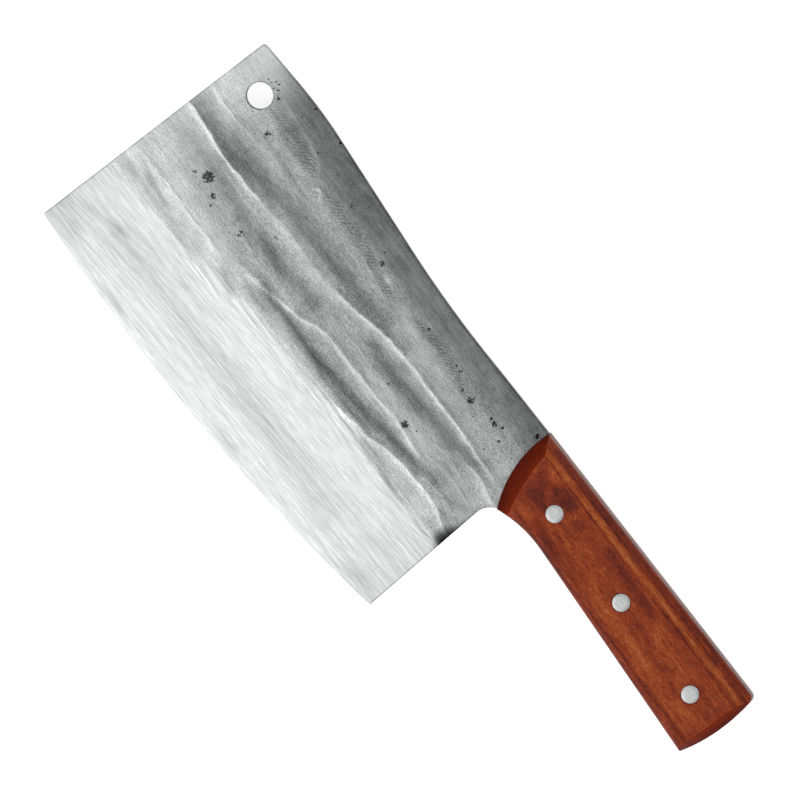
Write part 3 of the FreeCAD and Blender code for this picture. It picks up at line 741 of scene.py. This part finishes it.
def belly_drop(points):
    curve = join(arc(SCALE_LOW, CHOIL_TOP, CHOIL_RADIUS, -1), TANG_BELLY)
    closed = np.concatenate([curve, curve[-2:0:-1]])
    inside = np.clip(BELLY_ROUND - outline_distance(points, closed), 0, BELLY_ROUND)
    return BELLY_ROUND - np.sqrt(BELLY_ROUND ** 2 - inside ** 2)


def scale_drops(points):
    """How far each facet, bevel and rounding lies below the flat side of the scale."""
    x, y = points.T
    line_y, line_drop, wall_y = facet_lines(x)
    first = (y - FACET_INNER_Y) * line_drop / (line_y - FACET_INNER_Y)
    second = line_drop + (y - line_y) * (WALL_DROP - line_drop) / (wall_y - line_y)
    return [first, second, belly_drop(points), front_bevel(x, y), butt_bevel(x, y)]


def scale_grid():
    low_curve = join(arc(SCALE_LOW, CHOIL_TOP, CHOIL_RADIUS, -1), TANG_BELLY)
    top_curve = line(BOLSTER, BUTT_ARC[0])
    across = shares(BUTT_ARC[0][0] - BOLSTER[0], SCALE_CELL)
    up = shares(BOLSTER[1] - SCALE_LOW[1], SCALE_CELL)
    grid = patch(low_curve, top_curve, SCALE_FRONT, BUTT_CURVE, across, up)
    rim = join(low_curve, BUTT_CURVE, top_curve[::-1], SCALE_FRONT[::-1])[:-1]
    return merge([grid]), rim


def seat_cutters(side):
    """Cutters for the seats of the rivet heads and the holes of their shanks."""
    neck, proud = HANDLE_HALF - HEAD_THICKNESS, HANDLE_HALF + CUTTER_PROUD
    wide = HEAD_RADIUS + SEAT_GAP
    seat = [(0, neck), (wide, neck), (wide, HANDLE_HALF - SEAT_FLARE_DEPTH),
            (HEAD_RADIUS + SEAT_FLARE, proud), (0, proud)]
    if side == RIGHT:
        seat = [(radius, -z) for radius, z in reversed(seat)]
    shank = [(0, -HANDLE_HALF), (SHANK_HOLE, -HANDLE_HALF), (SHANK_HOLE, HANDLE_HALF), (0, HANDLE_HALF)]
    return [lathe(profile, place, 0.0) for place in RIVET_X.values() for profile in (seat, shank)]


def make_scale(side, name):
    (points, faces), outline = scale_grid()
    drops = [np.zeros(len(points))] + scale_drops(points)
    drop = CREASE * np.logaddexp.reduce([part / CREASE for part in drops])
    rim = np.clip(1 - outline_distance(points, outline) / WOOD_SOFT_EDGE, 0, 1)
    drop = np.clip(drop, 0, HANDLE_HALF - TANG_HALF - LEAST_WOOD) + WOOD_SOFT_DEPTH * rim ** 2
    outer, inner = HANDLE_HALF - drop, np.full(len(points), TANG_HALF)
    if side == LEFT:
        vertices, faces = solid_between(points, faces, outer, inner)
    else:
        vertices, faces = solid_between(points, faces, -inner, -outer)
    piece = new_piece(name + "_wood", vertices, faces, name)
    cut_out(piece, seat_cutters(side))
    shade(piece, WOOD_SHARP)
    paint_scale(piece, side)
    piece.data.materials.append(handle_wood())


WOOD_STROKES = [
    Stroke([(-60.5, 4.5), (-57, 3.5), (-53, 3)], 2.2, 2.2, -0.22),
    Stroke([(-58, -1.5), (-50, -2.4), (-45, -2)], 3, 3.4, -0.24),
    Stroke([(-52, 7), (-46, 6.5), (-40, 7)], 3.4, 3.4, -0.26),
    Stroke([(-36, 5.5), (-31, 5)], 2.4, 2.6, -0.16),
    Stroke([(-20, 8.6), (-3, 8.3), (12, 7.8)], 1.4, 2, -0.26),
    level(-42, -28, -8.6, 1.6, -0.16),
    Stroke([(14, 5), (28, 4.5), (42, 5)], 3, 4, 0.12),
    Stroke([(-14, -6.5), (20, -7), (56, -7.5)], 3, 2.6, 0.13),
    Stroke([(-56, -9), (-47, -8)], 2.2, 2.2, 0.20),
    Stroke([(-30, -2.5), (-10, -3.5)], 2.6, 2.6, 0.10),
    # Painted light: a lighter band on the first facet, and painted shade on the steeper second facet
    # above it.
    Stroke([(-64, 12.2), (-20, 12.4), (60, 13.2)], 1.2, 1.1, 0.24),
    Stroke([(-66, 15.2), (-20, 15.7), (60, 17.2)], 1.5, 1.4, -0.15),
    Stroke([(-59, 9.4), (-54, 8.4), (-50, 8.8)], 1.6, 1.6, 0.14),
    # Painted shade: a dark line where the belly starts to round away.
    Stroke([(-56, -11.6), (0, -12.2), (60, -12.6)], 0.5, 0.5, -0.20),
]


# Streaks below STREAKS_Y are moved along by RIGHT_STREAKS on the other scale.
WOOD_MIDDLE, RIGHT_STREAKS, STREAKS_Y = 0.5, 19.0, 9


def paint_scale(piece, side):
    """Shade of the wood: streaks and stains, end grain, and painted light and shade on the facets, the
    belly and the edges of the bevels.
    """
    x, y, _ = knife_points(piece)
    stray_y = y + 0.35 * lattice_noise(x, y, 9, 3, 41)
    shade_of = np.full(len(x), WOOD_MIDDLE)
    moved_x = x if side == LEFT else x + RIGHT_STREAKS * (y < STREAKS_Y)
    for stroke in WOOD_STROKES:
        shade_of = shade_of + stroke.grey * stroke_share(stroke, moved_x, stray_y)
    points = np.column_stack([x, y])
    facet, _, belly, front, butt = scale_drops(points)
    facet = np.maximum(facet, 0)
    depth = np.clip(np.where(front > butt, front / FRONT_DROP, butt / BUTT_DROP), 0, 1)
    store(piece, "shade", shade_of)
    store(piece, "cut_shade", np.where(front > butt, 0.36, 0.40) - 0.20 * depth)
    store(piece, "cut", np.maximum(front - facet, butt - facet))
    store(piece, "flat_edge_line", y - FACET_INNER_Y)
    store(piece, "facet_line", y - facet_lines(x)[0])
    # Painted shade on the rounding of the belly.
    store(piece, "belly", smooth_step(belly, 0.04, 1.0))


# ---------------------------------------------------------------- rivets

RIVET_STEPS, RIVET_SHARP = 96, 30

def head_profile(outer_z, neck_z):
    """A rivet head sanded flush: slightly crowned, with a narrow chamfer round its rim."""
    out = 1 if outer_z > neck_z else -1
    return [(HEAD_RADIUS, neck_z), (HEAD_RADIUS, outer_z - 0.22 * out),
            (HEAD_RADIUS - 0.06, outer_z - 0.10 * out), (HEAD_RADIUS - 0.20, outer_z - 0.03 * out),
            (HEAD_RADIUS * 0.6, outer_z - 0.005 * out), (HEAD_RADIUS * 0.25, outer_z)]


def make_rivet(name, place):
    neck, top = HANDLE_HALF - HEAD_THICKNESS, HANDLE_HALF
    bore_end, pin_radius = neck - BORE_FLOOR, BORE - PIN_GAP
    tube_end = END_GAP - neck
    tube = [(0, bore_end), (BORE, bore_end), (BORE, tube_end), (SHANK, tube_end), (SHANK, neck)]
    tube += head_profile(top, neck) + [(0, top)]
    pin = [(0, -top)] + head_profile(-top, -neck)[::-1]
    pin += [(pin_radius, -neck), (pin_radius, bore_end - END_GAP), (0, bore_end - END_GAP)]
    for half, profile in (("tube", tube), ("pin", pin)):
        node = "%s_rivet_%s" % (name, half)
        vertices, faces = lathe(profile, place, 0.0, RIVET_STEPS)
        piece = new_piece(node + "_turned", vertices, faces, node)
        shade(piece, RIVET_SHARP)
        piece.data.materials.append(rivet_steel())


# ---------------------------------------------------------------- materials
# Noise cells are given in millimetres along the knife, across it and through it.


class Graph:
    """Builds one node material."""

    def __init__(self, name):
        self.material = bpy.data.materials.new(name)
        self.material.use_nodes = True
        self.tree = self.material.node_tree
        self.tree.nodes.clear()
        self.place = self.add("TexCoord").outputs["Object"]

    def add(self, kind, inputs=(), **settings):
        node = self.tree.nodes.new("ShaderNode" + kind)
        for name, value in settings.items():
            setattr(node, name, value)
        for name, value in dict(inputs).items():
            if isinstance(value, bpy.types.NodeSocket):
                self.tree.links.new(value, node.inputs[name])
            else:
                node.inputs[name].default_value = value
        return node

    def value(self, attribute):
        return self.add("Attribute", attribute_name=attribute).outputs["Fac"]

    def math(self, operation, first, second=0.0):
        return self.add("Math", {0: first, 1: second}, operation=operation).outputs[0]

    def total(self, first, *others):
        for other in others:
            first = self.math("ADD", first, other)
        return first

    def times(self, first, *others):
        for other in others:
            first = self.math("MULTIPLY", first, other)
        return first

    def weighed(self, *products):
        """The sum of several products, each given by its factors."""
        return self.total(*(self.times(*factors) for factors in products))

    def spread(self, value, low, high, to_low=0.0, to_high=1.0):
        names = ("Value", "From Min", "From Max", "To Min", "To Max")
        return self.add("MapRange", dict(zip(names, (value, low, high, to_low, to_high)))).outputs[0]

    def noise(self, cells, detail=3.0, roughness=0.5, twist=0.0, turn=0.0):
        scale = [1 / (cell * MM) for cell in cells]
        rotation = (0.0, 0.0, math.radians(turn))
        mapped = self.add("Mapping", {"Vector": self.place, "Rotation": rotation})
        scaled = self.add("Mapping", {"Vector": mapped.outputs[0], "Scale": scale})
        inputs = {"Vector": scaled.outputs[0], "Scale": 1.0, "Detail": detail,
                  "Roughness": roughness, "Distortion": twist}
        return self.add("TexNoise", inputs).outputs[0]

    def stripes(self, pitch, turn):
        """Ragged parallel stripes, from 0 to 1, this far apart."""
        wave_pitch = 2 * math.pi / 20
        mapped = self.add("Mapping", {"Vector": self.place, "Scale": (1 / MM, 1 / MM, 1 / MM),
                                      "Rotation": (0.0, 0.0, math.radians(turn))})
        inputs = {"Vector": mapped.outputs[0], "Scale": wave_pitch / pitch, "Distortion": 5.0,
                  "Detail": 2.0, "Detail Scale": 2.2, "Detail Roughness": 0.6}
        return self.add("TexWave", inputs).outputs["Fac"]

    def falloff(self, distance, width):
        """1 where distance is just above 0, fading over this width, and 0 below it."""
        fading = self.math("EXPONENT", self.times(self.math("MAXIMUM", distance, 0.0), -1 / width))
        return self.times(fading, self.spread(distance, -0.25, 0.12))

    def centred(self, value, size):
        """Noise moved to run about zero, this much either way."""
        return self.spread(value, 0.25, 0.75, -size, size)

    def ramp(self, value, stops):
        node = self.add("ValToRGB", {"Fac": value})
        band = node.color_ramp
        while len(band.elements) < len(stops):
            band.elements.new(1.0)
        for element, (place, colour) in zip(band.elements, stops):
            element.position = place
            element.color = (*colour, 1.0)
        return node.outputs["Color"]

    def tinted(self, light, red, blue):
        """A grey light with a little less red and blue."""
        channels = {"Red": self.times(light, red), "Green": light, "Blue": self.times(light, blue)}
        return self.add("CombineColor", channels).outputs[0]

    def bump(self, height, strength, depth_mm):
        inputs = {"Height": height, "Strength": strength, "Distance": depth_mm * MM}
        return self.add("Bump", inputs).outputs["Normal"]

    def finish(self, **inputs):
        shader = self.add("BsdfPrincipled", {name.replace("_", " "): value
                                             for name, value in inputs.items()})
        output = self.add("OutputMaterial")
        self.tree.links.new(shader.outputs[0], output.inputs["Surface"])
        return self.material


def linear(red, green, blue):
    """A display colour from 0 to 255 as linear light."""
    return tuple(((part / 255 + 0.055) / 1.055) ** 2.4 for part in (red, green, blue))


DISPLAY_GAMMA = 2.2
STEEL_GAIN = 0.76
CHATTER_PITCH, CHATTER_TURN = 1.25, 45.0
GRIND_TURN = -3.5


def ridge_light(graph, lump, grain):
    """The bright line below a sharp ridge and the shadow above it."""
    offset = graph.total(graph.value("ridge_offset"), graph.centred(lump, 0.45),
                         graph.centred(grain, 0.22))
    sharp = graph.value("ridge_sharp")
    lit = graph.times(graph.falloff(graph.math("MULTIPLY", offset, -1.0), 0.85), sharp)
    return lit, graph.times(graph.falloff(offset, 1.5), sharp)


def corrosion(graph, forged, rough_share):
    """The listed pits, and finer stray ones."""
    pit_field = graph.total(graph.noise((0.8, 0.7, 0.8), 2.0, 0.6),
                            graph.times(graph.value("pits"), 0.54))
    pit = graph.times(graph.spread(pit_field, 0.80, 0.88), forged)
    stray = graph.spread(graph.noise((1.7, 1.5, 2), 1.0), 0.765, 0.80)
    return pit, graph.times(stray, rough_share)


def hammer_ticks(graph):
    ragged = graph.spread(graph.noise((2.6, 1.6, 2), 2.0, 0.6), 0.36, 0.62)
    return graph.times(graph.centred(graph.stripes(CHATTER_PITCH, CHATTER_TURN), 0.5), ragged)


def forged_steel():
    """Forge-darkened steel with hammer chatter and pits, and a bright brushed bevel, with painted
    highlights and shade along its ridges, its rim and in the hanging hole.
    """
    graph = Graph("forged_steel")
    ground = graph.value("ground")
    forged = graph.math("SUBTRACT", 1.0, ground)
    rough_share = graph.times(forged, graph.spread(graph.value("satin"), 0, 1, 1.0, 0.5))
    grain = graph.noise((0.9, 0.7, 0.9), 4.0, 0.65)
    speckle = graph.noise((0.45, 0.4, 0.45), 2.0, 0.6)
    cloud = graph.noise((13, 5, 9), 5.0, 0.62, 0.4)
    brush = graph.noise((10, 0.26, 2), 4.0, 0.66)
    grind = graph.noise((10, 0.26, 2), 4.0, 0.68, turn=GRIND_TURN)
    long_brush = graph.noise((38, 1.0, 3), 3.0, 0.6)
    lump = graph.noise((3.6, 1.7, 3), 3.0, 0.6, 0.5)
    scratch = graph.noise((0.5, 3.4, 2), 2.0, 0.6, 0.3, turn=-40)
    lit, shadowed = ridge_light(graph, lump, grain)
    pit, stray_pit = corrosion(graph, forged, rough_share)
    ticks, chatter = hammer_ticks(graph), graph.times(graph.value("chatter"), forged)

    shade_of = graph.weighed(
        (graph.value("grey"),), (graph.centred(grain, 0.06), rough_share),
        (graph.centred(speckle, 0.13), rough_share), (graph.centred(cloud, 0.05), forged),
        (graph.centred(brush, 0.076), forged), (graph.centred(grind, 0.19), ground),
        (graph.centred(long_brush, 0.03),), (graph.centred(lump, 0.025), rough_share),
        (graph.centred(scratch, 0.03), rough_share), (ticks, chatter, 0.16), (lit, 0.12),
        # The outline term paints shade along the rim of the steel.
        (shadowed, -0.12), (pit, -0.36), (stray_pit, -0.20), (graph.value("outline"), -0.16),
        # Painted shade inside the hanging hole.
        (graph.value("bore_shade"), -0.40))
    light = graph.times(graph.math("POWER", graph.math("MAXIMUM", shade_of, 0.02), DISPLAY_GAMMA),
                        STEEL_GAIN)
    roughness = graph.weighed((graph.spread(ground, 0, 1, 0.40, 0.34),),
                              (graph.centred(grain, 0.06), rough_share),
                              (graph.centred(grind, 0.05),), (pit, 0.25))
    height = graph.weighed(
        (grain, rough_share, 0.50), (speckle, rough_share, 0.30), (brush, forged, 0.16),
        (grind, ground, 0.16), (ticks, chatter, 0.32), (cloud, forged, 0.8), (lump, rough_share, 0.6),
        (scratch, rough_share, 0.35), (lit, 0.5), (shadowed, 0.5), (pit, -1.6), (stray_pit, -0.7))
    return graph.finish(Base_Color=graph.tinted(light, 0.982, 0.993), Metallic=1.0,
                        Roughness=roughness, Normal=graph.bump(height, 0.9, 0.24))


def facet_edge_line(graph, attribute, stray, offset, width):
    """A dark line along the handle where two of its faces meet, straying a little."""
    away = graph.total(graph.value(attribute), stray, offset)
    return graph.spread(graph.math("ABSOLUTE", away), *width, 1.0, 0.0)


def rivet_rings(graph):
    """The darker wood close round each rivet head."""
    centres = [((KNIFE.x + place * MM), KNIFE.y, 0.0) for place in RIVET_X.values()]
    flat = graph.add("VectorMath", {0: graph.place, 1: (1.0, 1.0, 0.0)}, operation="MULTIPLY").outputs[0]
    rings = [graph.add("VectorMath", {0: flat, 1: centre}, operation="DISTANCE").outputs["Value"]
             for centre in centres]
    nearest = graph.math("MINIMUM", graph.math("MINIMUM", rings[0], rings[1]), rings[2])
    return graph.spread(nearest, (HEAD_RADIUS + 0.1) * MM, (HEAD_RADIUS + 0.5) * MM, 0.5, 0.0)


WOOD_ROUGHNESS = 0.42
WOOD_LIGHT = 0.75
WOOD_COLOURS = [(place, tuple(WOOD_LIGHT * part for part in linear(*colour))) for place, colour in [
    (0.00, (44, 8, 2)), (0.22, (90, 22, 5)), (0.42, (126, 42, 10)), (0.58, (150, 61, 18)),
    (0.78, (178, 90, 40)), (1.00, (212, 138, 84))]]


def handle_wood():
    """Oiled reddish hardwood with lengthwise grain, pores and darker cut ends, with painted light and
    shade on its facets and belly and a painted highlight along the bevels' inner edges.
    """
    graph = Graph("handle_wood")
    figure = graph.noise((30, 6, 5), 4.0, 0.6, 0.8)
    bands = graph.noise((60, 1.3, 1.3), 3.0, 0.6, 0.35)
    mottle = graph.noise((7, 2.2, 2.2), 3.0, 0.6, 0.8)
    fibre = graph.noise((5, 0.30, 0.32), 4.0, 0.66, 0.2)
    fleck = graph.noise((1.5, 0.42, 0.45), 3.0, 0.7, 0.4)
    ripple = graph.noise((1.3, 4.0, 3.0), 2.0, 0.5, 0.4, turn=8)
    pore_field = graph.noise((3.4, 0.26, 0.3), 1.0, 0.4)
    cut = graph.total(graph.value("cut"), graph.centred(fleck, 0.05))
    end = graph.spread(cut, -0.02, 0.10)
    face = graph.math("SUBTRACT", 1.0, end)

    def less_on_end(share):
        return graph.spread(end, 0, 1, 1.0, share)

    # A painted highlight along the inner edge of each bevel.
    crease_highlight = graph.spread(graph.math("ABSOLUTE", graph.math("ADD", cut, 0.04)), 0.03, 0.26, 1.0, 0.0)
    flat_edge_line = facet_edge_line(graph, "flat_edge_line", graph.centred(figure, 0.5), 0.2, (0.12, 0.42))
    facet_line = facet_edge_line(graph, "facet_line", graph.centred(bands, 0.6), 0.1, (0.15, 0.7))
    pore = graph.times(graph.spread(pore_field, 0.64, 0.72), less_on_end(0.25))
    shade_of = graph.weighed(
        (graph.value("shade"), face), (graph.value("cut_shade"), end),
        (crease_highlight, graph.spread(fleck, 0.3, 0.7, 0.04, 0.20)),
        (flat_edge_line, face, graph.spread(mottle, 0.3, 0.7, -0.28, -0.10)),
        (facet_line, face, graph.spread(figure, 0.3, 0.7, -0.26, -0.12)),
        (graph.centred(figure, 0.11), less_on_end(0.5)), (graph.centred(bands, 0.05), face),
        (graph.centred(mottle, 0.10), less_on_end(0.5)), (graph.centred(fibre, 0.17), less_on_end(0.4)),
        (graph.centred(fleck, 0.20), less_on_end(0.3)), (graph.centred(ripple, 0.05), face),
        # Painted shade on the rounding of the belly.
        (graph.value("belly"), face, -0.13), (pore, -0.14))
    shade_of = graph.math("SUBTRACT", shade_of, graph.times(rivet_rings(graph), 0.4))
    roughness = graph.total(graph.centred(fibre, 0.05), graph.times(pore, 0.15), WOOD_ROUGHNESS)
    height = graph.weighed((fibre, face, 0.6), (fleck, 0.4), (pore, -1.0))
    return graph.finish(Base_Color=graph.ramp(shade_of, WOOD_COLOURS), Roughness=roughness,
                        Specular_IOR_Level=graph.spread(end, 0, 1, 0.14, 0.03),
                        Normal=graph.bump(height, 0.6, 0.12))


RIVET_GREY, RIVET_ROUGHNESS = 0.665, 0.36


def rivet_steel():
    """Bright steel sanded flush with the wood, with fine scratches that cross each other."""
    graph = Graph("rivet_steel")
    along_grain = graph.noise((3.2, 0.16, 1), 3.0, 0.6, 0.1, turn=12)
    across = graph.noise((0.2, 2.2, 1), 3.0, 0.6, 0.1, turn=-24)
    cloud = graph.noise((1.6, 1.3, 1.5), 3.0, 0.6, 0.4)
    shade_of = graph.total(graph.centred(along_grain, 0.05), graph.centred(across, 0.04),
                           graph.centred(cloud, 0.05), RIVET_GREY)
    light = graph.math("POWER", shade_of, DISPLAY_GAMMA)
    roughness = graph.total(graph.centred(cloud, 0.06), RIVET_ROUGHNESS)
    height = graph.weighed((along_grain, 0.5), (across, 0.4))
    return graph.finish(Base_Color=graph.tinted(light, 0.985, 0.99), Metallic=1.0,
                        Roughness=roughness, Normal=graph.bump(height, 0.5, 0.03))


FLOOR_WHITE, FLOOR_GLOW = 0.85, 0.62


def pale_floor():
    """Matt white acrylic over a lit table, faintly uneven."""
    graph = Graph("pale_floor")
    cloud = graph.noise((90, 90, 90), 3.0, 0.5)
    tooth = graph.noise((0.8, 0.8, 0.8), 3.0, 0.6)
    value = graph.total(graph.centred(cloud, 0.01), graph.centred(tooth, 0.006), FLOOR_WHITE)
    colour = graph.add("CombineColor", {"Red": value, "Green": value, "Blue": value}).outputs[0]
    return graph.finish(Base_Color=colour, Roughness=0.9, Specular_IOR_Level=0.1,
                        Emission_Color=(1.0, 1.0, 1.0, 1.0), Emission_Strength=FLOOR_GLOW,
                        Normal=graph.bump(tooth, 0.1, 0.05))


# ---------------------------------------------------------------- studio

FLOOR_REACH = 8.0
PHOTO_RIGHT_ALONG, PHOTO_RIGHT_ACROSS = 0.6007, 0.7995
TILT_DEGREES = 7.5
AIM = Vector((-0.0174, 0.0132, KNIFE.z))
FRAME_WIDTH, LENS, SENSOR = 0.3128, 1500.0, 36.0
# Brightness of the studio from the horizon up, and from its edge side to its spine side.
WORLD_GRADES = {"Z": (0.0, 1.0, 1.12, 0.86), "Y": (-1.0, 1.0, 1.47, 0.53)}
SOFTBOXES = {
    "edge_side_softbox": {"tilt": -34.0, "distance": 1.7, "size": (1.9, 0.8), "power": 5.0},
    "spine_side_softbox": {"tilt": 40.0, "distance": 1.8, "size": (1.6, 0.5), "power": 3.0},
}


def make_floor():
    corners = [(-1, -1), (1, -1), (1, 1), (-1, 1)]
    vertices = [(x * FLOOR_REACH, y * FLOOR_REACH, 0.0) for x, y in corners]
    floor = add_mesh("floor", vertices, [range(4)])
    floor.data.materials.append(pale_floor())


def make_camera():
    """A long lens square on to the blade but for a small tilt towards the spine."""
    tilt = math.radians(TILT_DEGREES)
    back = Vector((0.0, math.sin(tilt), math.cos(tilt)))
    across = Vector((0.0, math.cos(tilt), -math.sin(tilt)))
    knife_along = Vector((1.0, 0.0, 0.0))
    right = PHOTO_RIGHT_ALONG * knife_along + PHOTO_RIGHT_ACROSS * across
    up = PHOTO_RIGHT_ALONG * across - PHOTO_RIGHT_ACROSS * knife_along
    data = bpy.data.cameras.new("camera")
    data.lens, data.sensor_width = LENS, SENSOR
    camera = add_object("camera", data)
    turned = Matrix((right, up, back)).transposed()
    place = AIM + back * (FRAME_WIDTH * LENS / SENSOR)
    camera.matrix_world = Matrix.Translation(place) @ turned.to_4x4()
    bpy.context.scene.camera = camera


def make_softboxes():
    """Wide lamps above the two long sides of the knife, tilted from straight overhead."""
    for name, box in SOFTBOXES.items():
        data = bpy.data.lights.new(name, "AREA")
        data.shape = "RECTANGLE"
        data.size, data.size_y = box["size"]
        data.energy = box["power"]
        lamp = add_object(name, data)
        tilt = math.radians(box["tilt"])
        direction = Vector((0.0, math.sin(tilt), math.cos(tilt)))
        lamp.matrix_world = (Matrix.Translation(direction * box["distance"])
                             @ direction.to_track_quat("Z", "X").to_matrix().to_4x4())


def make_world():
    """A pale studio, brighter on the side of the cutting edge and a little darker overhead."""
    world = bpy.data.worlds.new("studio")
    world.use_nodes = True
    nodes, links = world.node_tree.nodes, world.node_tree.links
    coordinate = nodes.new("ShaderNodeTexCoord")
    split = nodes.new("ShaderNodeSeparateXYZ")
    links.new(coordinate.outputs["Generated"], split.inputs[0])
    strength = nodes.new("ShaderNodeMath")
    strength.operation = "MULTIPLY"
    for index, (axis, reach) in enumerate(WORLD_GRADES.items()):
        grade = nodes.new("ShaderNodeMapRange")
        links.new(split.outputs[axis], grade.inputs["Value"])
        for socket, value in zip(("From Min", "From Max", "To Min", "To Max"), reach):
            grade.inputs[socket].default_value = value
        links.new(grade.outputs[0], strength.inputs[index])
    links.new(strength.outputs[0], nodes["Background"].inputs["Strength"])
    nodes["Background"].inputs["Color"].default_value = (1.0, 1.0, 1.0, 1.0)
    bpy.context.scene.world = world


make_camera()
make_floor()
make_world()
make_softboxes()
make_blade()
make_scale(LEFT, "left_scale")
make_scale(RIGHT, "right_scale")
for rivet_name, rivet_x in RIVET_X.items():
    make_rivet(rivet_name, rivet_x)
bpy.context.scene.view_settings.view_transform = "Standard"
